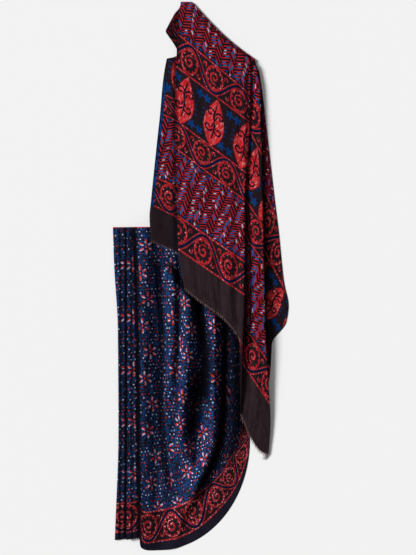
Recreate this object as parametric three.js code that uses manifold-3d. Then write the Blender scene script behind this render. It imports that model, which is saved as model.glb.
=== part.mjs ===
// A dabu print sari laid out flat on a table: the knife pleats and the swag of its skirt at the lower end,
// and its decorated end panel folded over from the shoulder, lying across the skirt in long lengthwise folds.
// Millimetres. +X is towards the two narrow side folds, +Y runs from the hem to the shoulder, +Z is up off the
// table, and the origin is under the middle of the laid-out cloth.
import * as THREE from "three";
import { mergeVertices } from "three/addons/utils/BufferGeometryUtils.js";
import Module from "manifold-3d";

const wasm = await Module();
wasm.setup();

// Driving dimensions
const CLOTH = 2; // thickness of the crinkled cotton, with the air that its layers trap
const ON_TABLE = CLOTH / 2; // height of the cloth's middle where it lies on the table
const TURN = 4.5; // height between two layers at a fold
const SHOULDER = 880; // the top of the end panel
const SHOULDER_LOW = 694; // the lower end of the shoulder fold, at the side folds
const SHOULDER_SLOPE = { from: -29, to: 176, dip: 14 }; // where it slopes down, and its dip below straight
const SHOULDER_HEIGHT = 7; // height of the end panel's cloth where it comes off the shoulder fold
const PARTING = { raised: 26, start: 3, spread: 40 }; // distances below the shoulder over which its lays part
const WAIST = 157; // the top of the skirt's pleats
const SWAG = { x: -140.8, y: -528, rx: 297.6, ry: 353.6 }; // the ellipse that the swag's hem follows
// The part of the waist that the end panel's start lies on, and its height
const HIDDEN_WAIST = { lift: 2.2, from: 30, flat: 112, left: -130, right: -96 };
const RISE_ROWS = [138, 330, 540]; // rows of the hidden layer that runs up from the skirt to the shoulder
const RISE_EDGES = { left: -50, right: 148 }; // the hidden layer's two edges below the shoulder
const NEST = 1.5; // half of the width that a turn keeps where it comes off the shoulder fold
const TURN_BULGE = 3; // how far at most a pleat's rounded turn stands out
const SKIRT_ROWS = 26;
const OPENING = [9, 18, 28, 40, 54, 70]; // rows below the shoulder fold, where the lengthwise folds open
const PANEL_ROWS = 18; // rows from there to the frayed end

// Smooth curve through a table's column: rows are in order of falling y, and the ends hold their value
function along(table, column, y) {
  const last = table.length - 1;
  if (y >= table[0].y) return table[0][column];
  if (y <= table[last].y) return table[last][column];
  const k = table.findIndex((row, i) => i < last && y > table[i + 1].y);
  const slope = (i) => (table[i + 1][column] - table[i][column]) / (table[i + 1].y - table[i].y);
  const bend = (i) => {
    if (i === 0 || i === last) return slope(Math.min(i, last - 1));
    const [before, after] = [slope(i - 1), slope(i)];
    return before * after > 0 ? (2 * before * after) / (before + after) : 0;
  };
  const step = table[k + 1].y - table[k].y;
  const t = (y - table[k].y) / step;
  return (
    table[k][column] * (1 + 2 * t) * (1 - t) ** 2 +
    table[k + 1][column] * t * t * (3 - 2 * t) +
    step * (bend(k) * t * (1 - t) ** 2 - bend(k + 1) * t * t * (1 - t))
  );
}

const mix = THREE.MathUtils.lerp;
const ease = (from, to, value) => THREE.MathUtils.smoothstep(value, from, to);
const clamp = THREE.MathUtils.clamp;

// The skirt's long ridges: where each crest runs, how high it stands, and how far its two slopes reach
const RIDGES = [
  [
    { y: 157, x: -182, rise: 22, left: 80, right: 50 },
    { y: -77, x: -186, rise: 25, left: 80, right: 58 },
    { y: -500, x: -186, rise: 24, left: 90, right: 60 },
    { y: -780, x: -190, rise: 20, left: 90, right: 70 },
    { y: -838, x: -190, rise: 20, left: 90, right: 80 },
    { y: -862, x: -190, rise: 16, left: 90, right: 80 },
    { y: -882, x: -186, rise: 2, left: 90, right: 70 },
  ],
  [
    { y: 157, x: -90, rise: 8, left: 34, right: 34 },
    { y: 38, x: -92, rise: 20, left: 34, right: 34 },
    { y: -205, x: -92, rise: 23, left: 32, right: 32 },
    { y: -358, x: -98, rise: 10, left: 30, right: 30 },
    { y: -450, x: -100, rise: 0, left: 30, right: 30 },
  ],
  [
    { y: 157, x: -40, rise: 8, left: 36, right: 40 },
    { y: -50, x: -42, rise: 28, left: 36, right: 40 },
    { y: -300, x: -48, rise: 33, left: 36, right: 44 },
    { y: -440, x: -62, rise: 32, left: 32, right: 44 },
    { y: -540, x: -60, rise: 27, left: 34, right: 46 },
    { y: -620, x: -26, rise: 16, left: 40, right: 40 },
    { y: -700, x: -8, rise: 0, left: 40, right: 40 },
  ],
  [
    { y: 157, x: 40, rise: 6, left: 34, right: 30 },
    { y: -60, x: 40, rise: 22, left: 34, right: 28 },
    { y: -200, x: 42, rise: 32, left: 34, right: 24 },
    { y: -500, x: 40, rise: 33, left: 36, right: 22 },
    { y: -600, x: 16, rise: 30, left: 44, right: 24 },
    { y: -720, x: -34, rise: 18, left: 50, right: 26 },
    { y: -800, x: -72, rise: 7, left: 50, right: 30 },
    { y: -882, x: -90, rise: 3, left: 50, right: 40 },
  ],
  [
    { y: 157, x: 108, rise: 2, left: 34, right: 34 },
    { y: -250, x: 106, rise: 9, left: 36, right: 40 },
    { y: -480, x: 108, rise: 8, left: 36, right: 40 },
    { y: -640, x: 78, rise: 5, left: 40, right: 40 },
    { y: -760, x: 30, rise: 0, left: 40, right: 40 },
  ],
];
const VALLEY = 7; // height of the cloth between the ridges
const HEM_RISE = 70; // distance from the hem in which the cloth reaches that height

// Height of the skirt's upper cloth at a place, from 0 at its hem on the table
function skirtHeight(x, y, fromHem) {
  const crests = RIDGES.map((ridge) => {
    const offset = x - along(ridge, "x", y);
    const reach = along(ridge, offset < 0 ? "left" : "right", y);
    return (along(ridge, "rise", y) * (1 + Math.cos(Math.PI * Math.min(1, Math.abs(offset) / reach)))) / 2;
  });
  const ground = mix(ON_TABLE, VALLEY, ease(0, HEM_RISE, fromHem));
  const settled = ease(HIDDEN_WAIST.from, HIDDEN_WAIST.flat, y) * ease(HIDDEN_WAIST.left, HIDDEN_WAIST.right, x);
  const height = ground + crests.reduce((sum, crest) => sum + crest, 0);
  return mix(height, HIDDEN_WAIST.lift, settled);
}

// The pleats: the fold edges that show, from the skirt's outer edge to its broad front
const PLEATS = [
  { y: 157, outer: -280, second: -236, front: -214 },
  { y: 38, outer: -276, second: -235, front: -207 },
  { y: -170, outer: -264, second: -234, front: -202 },
  { y: -500, outer: -262, second: -234, front: -199 },
  { y: -848, outer: -274, second: -237, front: -195 },
];
const PLEAT_END = { outer: -848, second: -846, tucked: -832, front: -842 }; // the hem's height at each fold edge
const TUCK = -166; // how far in the pleats' hidden folds reach
const HEM_PRESS = { share: 0.9, from: -850, to: -700 }; // how much flatter the stack of pleats lies at its hem

// Each lay of the pleats, from the table up: its two ends, their heights, their hem and its number of steps
const LAYS = [
  { from: -178, to: "outer", low: ON_TABLE, high: ON_TABLE, start: "tucked", end: "outer", steps: 2 },
  { from: "outer", to: TUCK, low: 7, high: 4.4, start: "outer", end: "tucked", steps: 3 },
  { from: TUCK, to: "second", low: 7.6, high: 9.6, start: "tucked", end: "second", steps: 2 },
  { from: "second", to: TUCK, low: 14.6, high: 10.9, start: "second", end: "tucked", steps: 3 },
  { from: TUCK, to: "front", low: 14.1, high: 16.4, start: "tucked", end: "front", steps: 2 },
];
const FRONT_CORNER = { x: -195, y: -862 }; // the lower end of the front's fold edge
const FRONT_STEPS = 40;
const FRONT_WAIST = { left: -214, right: 148 }; // the front's two ends at the waist
const FRONT_FADE = 6; // how quickly the front's threads leave the line of its fold edge
// The lengthwise threads by share of the hem: where they are upright, and their lead off the hem
const THREADS = { uprightBefore: 0.05, turning: 0.72, uprightAfter: 0.96, lead: 150, look: 0.004 };

// The hem of the swag, from the front pleat's corner round to where the end panel hides it
function hemLine() {
  const path = new THREE.Path();
  path.moveTo(FRONT_CORNER.x, FRONT_CORNER.y);
  path.quadraticCurveTo(-192, -880, -168, SWAG.y - SWAG.ry);
  path.lineTo(SWAG.x, SWAG.y - SWAG.ry);
  path.absellipse(SWAG.x, SWAG.y, SWAG.rx, SWAG.ry, -Math.PI / 2, 0, false, 0);
  path.lineTo(166, -430);
  path.lineTo(184, -340);
  return path;
}
const HEM = hemLine();

// The height of a lay of the pleats, which lie flatter towards their hem
function pressed(height, y) {
  const share = mix(HEM_PRESS.share, 1, ease(HEM_PRESS.from, HEM_PRESS.to, y));
  return ON_TABLE + (height - ON_TABLE) * share;
}

// A lengthwise thread of the front: it leaves the hem squarely and swings up to the waist
function frontThread(share) {
  const hem = HEM.getPointAt(share);
  const ahead = HEM.getPointAt(Math.min(1, share + THREADS.look));
  const behind = HEM.getPointAt(Math.max(0, share - THREADS.look));
  const inward = new THREE.Vector2(behind.y - ahead.y, ahead.x - behind.x).normalize();
  if (share < THREADS.uprightBefore) inward.set(0, 1);
  const upright = ease(THREADS.turning, THREADS.uprightAfter, share);
  inward.lerp(new THREE.Vector2(0, 1), upright).normalize();
  const waist = new THREE.Vector2(mix(FRONT_WAIST.left, FRONT_WAIST.right, share), WAIST);
  const rise = hem.distanceTo(waist) / 3;
  const lead = Math.min(rise, THREADS.lead);
  return new THREE.CubicBezierCurve(
    hem,
    hem.clone().addScaledVector(inward, lead),
    new THREE.Vector2(waist.x, waist.y - rise),
    waist,
  );
}

// The skirt's middle surface, as rows of points from the waist to the hem
function skirtRows() {
  const threads = Array.from({ length: FRONT_STEPS + 1 }, (_, i) => frontThread(i / FRONT_STEPS));
  return Array.from({ length: SKIRT_ROWS + 1 }, (_, i) => {
    const down = i / SKIRT_ROWS;
    const row = [];
    LAYS.forEach((lay, n) => {
      const points = [];
      for (let k = 0; k <= lay.steps; k++) {
        const t = k / lay.steps;
        const y = mix(WAIST, mix(PLEAT_END[lay.start], PLEAT_END[lay.end], t), down);
        const edge = (end) => (typeof end === "string" ? along(PLEATS, end, y) : end);
        const z = pressed(mix(lay.low, lay.high, t), y);
        points.push(new THREE.Vector3(mix(edge(lay.from), edge(lay.to), t), y, z));
      }
      row.push(...points);
      const last = points.at(-1);
      const isFront = n + 1 === LAYS.length;
      const above = isFront ? skirtHeight(last.x, last.y, last.y - FRONT_CORNER.y) : pressed(LAYS[n + 1].low, last.y);
      const half = (above - last.z) / 2;
      const outward = n % 2 === 0 ? -1 : 1;
      row.push(new THREE.Vector3(last.x + outward * Math.min(half, TURN_BULGE), last.y, last.z + half));
    });
    const edge = threads[0].getPointAt(1 - down);
    const shift = along(PLEATS, "front", edge.y) - edge.x;
    threads.forEach((thread, k) => {
      const place = thread.getPointAt(1 - down);
      const share = k / FRONT_STEPS;
      const x = place.x + (1 - share) ** FRONT_FADE * shift;
      const fromHem = thread.v0.distanceTo(place);
      row.push(new THREE.Vector3(x, place.y, skirtHeight(x, place.y, fromHem)));
    });
    return row;
  });
}

// The end panel's fold edges as seen from above: the outer flap, the broad middle and the two side folds
const FLAP_EDGE = [
  { y: 880, x: -67 },
  { y: 834, x: -90 },
  { y: 800, x: -108 },
  { y: 787, x: -114 },
  { y: 776, x: -108 },
  { y: 740, x: -84 },
  { y: 722, x: -76 },
  { y: 706, x: -78 },
  { y: 699, x: -110 },
  { y: 499, x: -134 },
  { y: 240, x: -161 },
  { y: 195, x: -165 },
  { y: 118, x: -160 },
];
const MIDDLE_LEFT = [
  { y: 880, x: -67 },
  { y: 723, x: -75 },
  { y: 499, x: -80 },
  { y: 195, x: -73 },
  { y: 77, x: -68 },
  { y: -32, x: -51 },
];
const MIDDLE_RIGHT = [
  { y: 694, x: 157 },
  { y: 595, x: 156 },
  { y: 371, x: 148 },
  { y: 243, x: 138 },
  { y: -77, x: 137 },
  { y: -205, x: 131 },
  { y: -435, x: 134 },
];
const SIDE_RIGHT = [
  { y: 694, x: 170 },
  { y: 595, x: 187 },
  { y: 371, x: 194 },
  { y: 243, x: 196 },
  { y: -173, x: 204 },
  { y: -349, x: 214 },
  { y: -467, x: 220 },
  { y: -583, x: 214 },
];
const OUTER_RIGHT = [
  { y: 694, x: 176 },
  { y: 675, x: 183 },
  { y: 563, x: 201 },
  { y: 499, x: 208 },
  { y: 243, x: 237 },
  { y: 147, x: 249 },
  { y: -16, x: 266 },
  { y: -96, x: 281 },
  { y: -147, x: 274 },
  { y: -218, x: 228 },
  { y: -275, x: 225 },
  { y: -330, x: 220 },
  { y: -349, x: 216 },
];
// How far the cloth runs on unseen beneath each fold
const HIDDEN = [
  { y: 880, flap: 6, middle: 14, side: 12 },
  { y: 700, flap: 24, middle: 14, side: 12 },
  { y: 500, flap: 44, middle: 22, side: 22 },
  { y: 230, flap: 70, middle: 34, side: 38 },
  { y: 0, flap: 78, middle: 24, side: 30 },
  { y: -205, flap: 78, middle: 6, side: 22 },
  { y: -349, flap: 78, middle: 6, side: 12 },
];
// Height of each fold: the flap's edge and its hidden turn, the middle's two edges, and so on to the outer edge
const HEIGHTS = [
  { y: 860, flap: 3.5, tuck: 7, left: 12.5, right: 19, under: 8, side: 14.5, below: 5.8, outer: 3.4 },
  { y: 690, flap: 1.4, tuck: 8, left: 16, right: 19.5, under: 8, side: 14.5, below: 5.8, outer: 3.4 },
  { y: 560, flap: 1.2, tuck: 8, left: 18, right: 20, under: 8.2, side: 15, below: 6.4, outer: 1.8 },
  { y: 400, flap: 1.2, tuck: 8, left: 19, right: 21, under: 8.5, side: 16, below: 6.8, outer: 1.4 },
  { y: 235, flap: 2, tuck: 8.5, left: 21, right: 23, under: 9.5, side: 16, below: 6.8, outer: 1.2 },
  { y: 135, flap: 30, tuck: 26, left: 37, right: 35, under: 14, side: 22, below: 8, outer: 1.2 },
  { y: 0, flap: 34, tuck: 38, left: 48, right: 46, under: 28, side: 28, below: 9, outer: 1.2 },
  { y: -205, flap: 35, tuck: 40, left: 48, right: 48, under: 26, side: 26, below: 8, outer: 1.2 },
  { y: -350, flap: 35, tuck: 40, left: 48, right: 48, under: 22, side: 17, below: 6, outer: 1.2 },
  { y: -460, flap: 35, tuck: 40, left: 48, right: 48, under: 18, side: 10, below: 4.5, outer: 1.2 },
  { y: -583, flap: 35, tuck: 40, left: 48, right: 48, under: 8, side: 4.4, below: 3.4, outer: 1.2 },
];
// The panel's corners along one crosswise thread: where each starts on the shoulder fold, and its frayed end
const CORNERS = {
  flap: { start: -67, end: 120, edge: (y) => along(FLAP_EDGE, "x", y) },
  tuck: { start: -58, end: 44, edge: (y) => along(MIDDLE_LEFT, "x", y) + along(HIDDEN, "flap", y) },
  left: { start: -50, end: -32, edge: (y) => along(MIDDLE_LEFT, "x", y) },
  right: { start: 132, end: -205, edge: (y) => along(MIDDLE_RIGHT, "x", y) },
  under: { start: 142, end: -435, edge: (y) => along(MIDDLE_RIGHT, "x", y) - along(HIDDEN, "middle", y) },
  side: { start: 157, end: -566, edge: (y) => along(SIDE_RIGHT, "x", y) },
  below: { start: 166, end: -349, edge: (y) => along(SIDE_RIGHT, "x", y) - along(HIDDEN, "side", y) },
  outer: { start: 176, end: -349, edge: (y) => along(OUTER_RIGHT, "x", y) },
};
// The shoulder fold, from the hidden layer on the table round to the panel above it
const SHOULDER_TURN = [
  { ahead: -22, height: 1 },
  { ahead: -2, height: 1.8 },
  { ahead: 0.6, height: 4 },
  { ahead: -2, height: 6.4 },
];
// The lays between the corners: leave and meet are +1 on a fold's upper side, -1 on its lower side and 0 at a
// raw edge. The cut end hangs below the straight line by sag, most at the middle or, where it is late, after it
const PANEL_LAYS = [
  { from: "flap", to: "tuck", leave: 0, meet: -1, steps: 4, crown: 0, sag: 0, late: 1 },
  { from: "tuck", to: "left", leave: 1, meet: -1, steps: 2, crown: 0, sag: 0, late: 1 },
  { from: "left", to: "right", leave: 1, meet: 1, steps: 9, crown: 2, sag: -20, late: 2 },
  { from: "right", to: "under", leave: -1, meet: 1, steps: 2, crown: 0, sag: 0, late: 1 },
  { from: "under", to: "side", leave: -1, meet: 1, steps: 6, crown: 1.5, sag: 33, late: 1 },
  { from: "side", to: "below", leave: -1, meet: 1, steps: 2, crown: 0, sag: 0, late: 1 },
  { from: "below", to: "outer", leave: -1, meet: 0, steps: 4, crown: 2.5, sag: 0, late: 1 },
];

// How far down a thread of the given length a row lies: the opening's rows come first, then even steps
function dropOf(row, length) {
  if (row <= OPENING.length) return row === 0 ? 0 : OPENING[row - 1];
  return mix(OPENING.at(-1), length, (row - OPENING.length) / PANEL_ROWS);
}
const END_ROW = OPENING.length + PANEL_ROWS;

// One place on the end panel: t runs along a lay, and row counts down from the shoulder fold to the frayed end
function panelPoint(lay, t, row, beyondEnd = 0) {
  const [from, to] = [CORNERS[lay.from], CORNERS[lay.to]];
  const start = mix(from.start + NEST, to.start - NEST, t);
  const slope = clamp((start - SHOULDER_SLOPE.from) / (SHOULDER_SLOPE.to - SHOULDER_SLOPE.from), 0, 1);
  const top = mix(SHOULDER, SHOULDER_LOW, slope) - SHOULDER_SLOPE.dip * Math.sin(Math.PI * slope);
  const cut = mix(from.end, to.end, t) - lay.sag * Math.sin(Math.PI * t ** lay.late);
  const y = top - dropOf(row, top - cut) - beyondEnd;
  const raised = ease(0, PARTING.raised, top - y);
  const spread = ease(PARTING.start, PARTING.spread, top - y);
  const lift = (TURN / 2) * raised;
  const heightFrom = along(HEIGHTS, lay.from, y) + lay.leave * lift;
  const heightTo = along(HEIGHTS, lay.to, y) + lay.meet * lift;
  const crown = lay.crown * Math.sin(Math.PI * t);
  return new THREE.Vector3(
    mix(start, mix(from.edge(y), to.edge(y), t), spread),
    y,
    mix(SHOULDER_HEIGHT, mix(heightFrom, heightTo, t) + crown, raised),
  );
}

// One crosswise row of the end panel, with a rounded turn at each fold
function panelRow(row, beyondEnd = 0, lays = PANEL_LAYS) {
  const points = [];
  lays.forEach((lay, n) => {
    for (let k = 0; k <= lay.steps; k++) points.push(panelPoint(lay, k / lay.steps, row, beyondEnd));
    if (n === lays.length - 1) return;
    const last = points.at(-1);
    const next = panelPoint(lays[n + 1], 0, row, beyondEnd);
    const outward = lay.to === "left" || lay.to === "under" || lay.to === "below" ? -1 : 1;
    const nested = clamp(Math.abs(next.x - last.x) / (2 * NEST), 0, 1);
    const bulge = (Math.abs(next.z - last.z) / 2) * (1 - nested);
    const turn = last.clone().lerp(next, 0.5);
    points.push(turn.setX(turn.x + outward * bulge));
  });
  return points;
}

// The end panel's middle surface: the hidden layer up from the skirt, the shoulder fold, then down to the end
function panelRows() {
  const shoulder = panelRow(0);
  const across = (point) => (point.x - shoulder[0].x) / (shoulder.at(-1).x - shoulder[0].x);
  const rows = RISE_ROWS.map((y) =>
    shoulder.map((point) => new THREE.Vector3(mix(RISE_EDGES.left, RISE_EDGES.right, across(point)), y, ON_TABLE)),
  );
  for (const turn of SHOULDER_TURN)
    rows.push(shoulder.map((point) => new THREE.Vector3(point.x, point.y + turn.ahead, turn.height)));
  for (let i = 1; i <= END_ROW; i++) rows.push(panelRow(i));
  return rows;
}

// A closed sheet of the given thickness round a grid of middle points
function sheet(rows, thickness) {
  const [height, width] = [rows.length, rows[0].length];
  const at = (i, j) => rows[clamp(i, 0, height - 1)][clamp(j, 0, width - 1)];
  const faces = { over: [], under: [] };
  for (let i = 0; i < height; i++)
    for (let j = 0; j < width; j++) {
      const acrossRow = at(i, j + 1).clone().sub(at(i, j - 1));
      const downColumn = at(i + 1, j).clone().sub(at(i - 1, j));
      const normal = downColumn.cross(acrossRow).normalize();
      faces.over.push(at(i, j).clone().addScaledVector(normal, thickness / 2));
      faces.under.push(at(i, j).clone().addScaledVector(normal, -thickness / 2));
    }
  const points = [...faces.over, ...faces.under];
  const rise = (k) => rows[Math.floor(k / width)][k % width].z;
  const [over, under] = [0, height * width];
  const index = [];
  const quad = (a, b, c, d) => index.push(a, b, c, a, c, d);
  for (let i = 0; i + 1 < height; i++)
    for (let j = 0; j + 1 < width; j++) {
      const [a, b, c, d] = [i * width + j, (i + 1) * width + j, (i + 1) * width + j + 1, i * width + j + 1];
      const alongFold = Math.abs(rise(a) - rise(c)) < Math.abs(rise(b) - rise(d));
      if (alongFold) {
        quad(over + a, over + b, over + c, over + d);
        quad(under + c, under + b, under + a, under + d);
      } else {
        quad(over + b, over + c, over + d, over + a);
        quad(under + b, under + a, under + d, under + c);
      }
    }
  const rim = [];
  for (let j = 0; j + 1 < width; j++) rim.push(j);
  for (let i = 0; i + 1 < height; i++) rim.push(i * width + width - 1);
  for (let j = width - 1; j > 0; j--) rim.push((height - 1) * width + j);
  for (let i = height - 1; i > 0; i--) rim.push(i * width);
  rim.forEach((a, n) => {
    const b = rim[(n + 1) % rim.length];
    quad(over + a, over + b, under + b, under + a);
  });
  return new THREE.BufferGeometry().setFromPoints(points).setIndex(index);
}

// Solids for joining: from a closed mesh to a manifold and back
function solid(geometry) {
  const bare = geometry.index ? geometry.clone() : geometry;
  bare.deleteAttribute("normal");
  bare.deleteAttribute("uv");
  const merged = mergeVertices(bare, 1e-4);
  return new wasm.Manifold(
    new wasm.Mesh({
      numProp: 3,
      vertProperties: merged.attributes.position.array,
      triVerts: new Uint32Array(merged.index.array),
    }),
  );
}

function geometryOf(manifold) {
  const { vertProperties, triVerts } = manifold.getMesh();
  const geometry = new THREE.BufferGeometry();
  geometry.setAttribute("position", new THREE.BufferAttribute(new Float32Array(vertProperties), 3));
  geometry.setIndex(new THREE.BufferAttribute(new Uint32Array(triVerts), 1));
  geometry.computeVertexNormals();
  return geometry;
}

// The frayed end: a narrow strip of loose weave along each fold's cut edge, with its warp ends hanging out of it
const FRAYS = [
  { name: "frayed_end_flap", lay: PANEL_LAYS[0], strands: 26, longest: 9, drop: 0.1 },
  { name: "frayed_end_middle", lay: PANEL_LAYS[2], strands: 70, longest: 11, drop: 0.15 },
  { name: "frayed_end_side", lay: PANEL_LAYS[4], strands: 44, longest: 12, drop: 0.1 },
];
const STRIP = { gap: 0.8, middle: 3.6, edge: 6.4, thickness: 1.6 }; // distances beyond the cloth's cut edge
const STRAND = { radius: 0.75, root: 1.6, lean: -0.17, tipLength: 24, tipFrom: 0.93 };

// A repeatable uneven number from 0 to 1
const uneven = (n) => Math.abs(Math.sin(n * 127.1 + 3.7) * 43758.5453) % 1;

function strand(fray, n) {
  const t = (n + 0.2 + 0.6 * uneven(n)) / fray.strands;
  const root = panelPoint(fray.lay, t, END_ROW, STRIP.edge - STRAND.root);
  const atTip = fray.lay.to === "side" && t > STRAND.tipFrom;
  const atTipLength = STRAND.tipLength * (0.7 + 0.3 * uneven(n + 9));
  const length = atTip ? atTipLength : fray.longest * (0.55 + 0.45 * uneven(n + 5));
  const slope = atTip ? -Math.min(0.25, (root.z - 2) / length) : -fray.drop * uneven(n + 2);
  const way = new THREE.Vector3(STRAND.lean + 0.5 * (uneven(n + 1) - 0.5), -1, slope).normalize();
  const geometry = new THREE.ConeGeometry(STRAND.radius, length, 3);
  geometry.applyQuaternion(new THREE.Quaternion().setFromUnitVectors(new THREE.Vector3(0, 1, 0), way));
  const middle = root.clone().addScaledVector(way, length / 2);
  return solid(geometry.translate(middle.x, middle.y, middle.z));
}

function frayedEnd(fray) {
  const rows = [STRIP.gap, STRIP.middle, STRIP.edge].map((beyond) => panelRow(END_ROW, beyond, [fray.lay]));
  const strands = Array.from({ length: fray.strands }, (_, n) => strand(fray, n));
  return strands.reduce((joined, one) => joined.add(one), solid(sheet(rows, STRIP.thickness)));
}

const COTTON = new THREE.MeshStandardMaterial({ color: 0x1d2a4a, roughness: 0.9, metalness: 0 });
const FRAYED = new THREE.MeshStandardMaterial({ color: 0x33262c, roughness: 0.95, metalness: 0 });

function piece(name, manifold, material) {
  const mesh = new THREE.Mesh(geometryOf(manifold), material);
  mesh.name = name;
  return mesh;
}

const skirt = solid(sheet(skirtRows(), CLOTH));
const endPanel = solid(sheet(panelRows(), CLOTH));

const sari = new THREE.Group();
sari.add(piece("sari_cloth", skirt.add(endPanel), COTTON));
for (const fray of FRAYS) sari.add(piece(fray.name, frayedEnd(fray), FRAYED));

export default sari;
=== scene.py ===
# %% [markdown]
# # A dabu print sari, laid out flat
#
# This lesson builds one long crinkled cotton cloth as it lies on a table: the knife pleats and the swag of
# its skirt below, and the decorated end panel folded over a shoulder fold above. The real cloth is printed
# with mud resist and two dyes, indigo and madder. The printed design is worked out by the materials from
# each sheet's own UV map, whose units are the cloth's real sizes, so it follows every fold.

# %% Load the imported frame
import math

import bpy
import numpy as np
from mathutils import Matrix, Vector


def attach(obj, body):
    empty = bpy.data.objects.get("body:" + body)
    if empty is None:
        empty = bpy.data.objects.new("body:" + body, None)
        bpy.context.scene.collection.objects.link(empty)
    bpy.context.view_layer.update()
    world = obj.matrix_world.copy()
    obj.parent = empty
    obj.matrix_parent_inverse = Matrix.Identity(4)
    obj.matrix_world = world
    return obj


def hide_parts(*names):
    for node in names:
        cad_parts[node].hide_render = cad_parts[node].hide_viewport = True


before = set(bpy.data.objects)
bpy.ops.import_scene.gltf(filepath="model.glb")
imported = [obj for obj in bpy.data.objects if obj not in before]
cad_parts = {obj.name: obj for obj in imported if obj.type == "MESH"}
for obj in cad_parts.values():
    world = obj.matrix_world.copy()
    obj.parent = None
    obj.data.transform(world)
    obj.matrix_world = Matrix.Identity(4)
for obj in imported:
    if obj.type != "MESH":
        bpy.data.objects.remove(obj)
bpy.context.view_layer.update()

# %% [markdown]
# ## The camera
#
# The cloth is laid on a surface, so the camera looks straight down at it. A long lens from four metres keeps
# the folds' outlines where they are in plan. The frame is 416 by 555 pixels, and one pixel is 3.2 mm on the
# cloth, so the frame's height in metres and the camera's height give the lens.

# %% Camera
MM = 0.001
PIXEL = 3.2
PHOTO_WIDTH = 416
PHOTO_HEIGHT = 555
ORIGIN_PIXEL = (201, 276)
CAMERA_HEIGHT = 4.0
CLOTH_LEVEL = 0.02
SENSOR = 36


def pixel_of(x, y):
    """The photograph's pixel, x and then y down, of a place on the cloth in millimetres."""
    return x / PIXEL + ORIGIN_PIXEL[0], ORIGIN_PIXEL[1] - y / PIXEL


middle_x = (PHOTO_WIDTH / 2 - ORIGIN_PIXEL[0]) * PIXEL * MM
middle_y = (ORIGIN_PIXEL[1] - PHOTO_HEIGHT / 2) * PIXEL * MM
camera_data = bpy.data.cameras.new("camera")
camera_data.sensor_width = SENSOR
camera_data.lens = SENSOR * CAMERA_HEIGHT / (PHOTO_HEIGHT * PIXEL * MM)
camera = bpy.data.objects.new("camera", camera_data)
camera.location = (middle_x, middle_y, CLOTH_LEVEL + CAMERA_HEIGHT)
bpy.context.scene.collection.objects.link(camera)
bpy.context.scene.camera = camera
print("lens", round(camera_data.lens, 1), "mm")

# %% [markdown]
# ## Smooth curves through short tables
#
# Folds are described by short tables: a row for each height on the cloth, and a named column for each thing
# that changes along it. A curve that never overshoots joins the rows. Spline objects would do this too, but
# a formula can be read at any place at once, for a whole grid of points.


# %% Tables and curves
def table(names, *rows):
    """Columns of numbers by name. Rows are in order of falling y."""
    return dict(zip(names.split(), np.array(rows, float).T))


def along(rows, column, y):
    """The smooth curve through a table's column at any y. The ends hold their value."""
    at = rows["y"]
    value = rows[column]
    step = np.diff(at)
    slope = np.diff(value) / step
    before = slope[:-1]
    after = slope[1:]
    same_way = before * after > 0
    total = np.where(same_way, before + after, 1.0)
    bend = np.concatenate([slope[:1], np.where(same_way, 2 * before * after / total, 0.0), slope[-1:]])
    y = np.clip(y, at[-1], at[0])
    k = np.clip(np.searchsorted(-at, -y, side="right") - 1, 0, len(at) - 2)
    t = (y - at[k]) / step[k]
    ends = value[k] * (1 + 2 * t) * (1 - t) ** 2 + value[k + 1] * t * t * (3 - 2 * t)
    return ends + step[k] * (bend[k] * t * (1 - t) ** 2 - bend[k + 1] * t * t * (1 - t))


def mix(low, high, share):
    return low + (high - low) * share


def ease(start, end, value):
    """0 before start, 1 after end, and a smooth step between them."""
    t = np.clip((value - start) / (end - start), 0, 1)
    return t * t * (3 - 2 * t)


def unit(vectors):
    """Vectors in the last axis, each made 1 long."""
    return vectors / np.maximum(np.linalg.norm(vectors, axis=-1, keepdims=True), 1e-9)


# %% [markdown]
# ## The skirt's folds
#
# The skirt starts at the left with narrow knife pleats, stacked five lays deep, and goes on into a broad
# front that hangs in long ridges and a deep U of a swag. The same ridges and pleats as in the frame are
# used here, in millimetres, and are sampled about five times finer.

# %% Skirt tables
TABLE_GAP = 0.6
ON_TABLE = 1
WAIST = 157
SWAG = {"x": -140.8, "y": -528, "rx": 297.6, "ry": 353.6}
HIDDEN_WAIST = {"lift": 2.2, "from": 30, "flat": 112, "left": -130, "right": -96}
VALLEY = 7
HEM_RISE = 70
RIDGES = [
    table(
        "y x rise left right",
        (157, -182, 22, 80, 50),
        (-77, -186, 25, 80, 58),
        (-500, -186, 24, 90, 60),
        (-780, -190, 20, 90, 70),
        (-838, -190, 20, 90, 80),
        (-862, -190, 16, 90, 80),
        (-882, -186, 2, 90, 70),
    ),
    table(
        "y x rise left right",
        (157, -90, 8, 34, 34),
        (38, -92, 20, 34, 34),
        (-205, -92, 23, 32, 32),
        (-358, -98, 10, 30, 30),
        (-450, -100, 0, 30, 30),
    ),
    table(
        "y x rise left right",
        (157, -40, 8, 36, 40),
        (-50, -42, 28, 36, 40),
        (-300, -48, 33, 36, 44),
        (-440, -62, 32, 32, 44),
        (-540, -60, 27, 34, 46),
        (-620, -26, 16, 40, 40),
        (-700, -8, 0, 40, 40),
    ),
    table(
        "y x rise left right",
        (157, 40, 6, 34, 30),
        (-60, 40, 22, 34, 28),
        (-200, 42, 32, 34, 24),
        (-500, 40, 33, 36, 22),
        (-600, 16, 30, 44, 24),
        (-720, -34, 18, 50, 26),
        (-800, -72, 7, 50, 30),
        (-882, -90, 3, 50, 40),
    ),
    table(
        "y x rise left right",
        (157, 108, 2, 34, 34),
        (-250, 106, 9, 36, 40),
        (-480, 108, 8, 36, 40),
        (-640, 78, 5, 40, 40),
        (-760, 30, 0, 40, 40),
    ),
]
PLEATS = table(
    "y outer second front",
    (157, -280, -236, -214),
    (38, -276, -235, -207),
    (-170, -264, -234, -202),
    (-500, -262, -234, -199),
    (-848, -274, -237, -195),
)
PLEAT_END = {"outer": -848, "second": -846, "tucked": -832, "front": -842}
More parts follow.
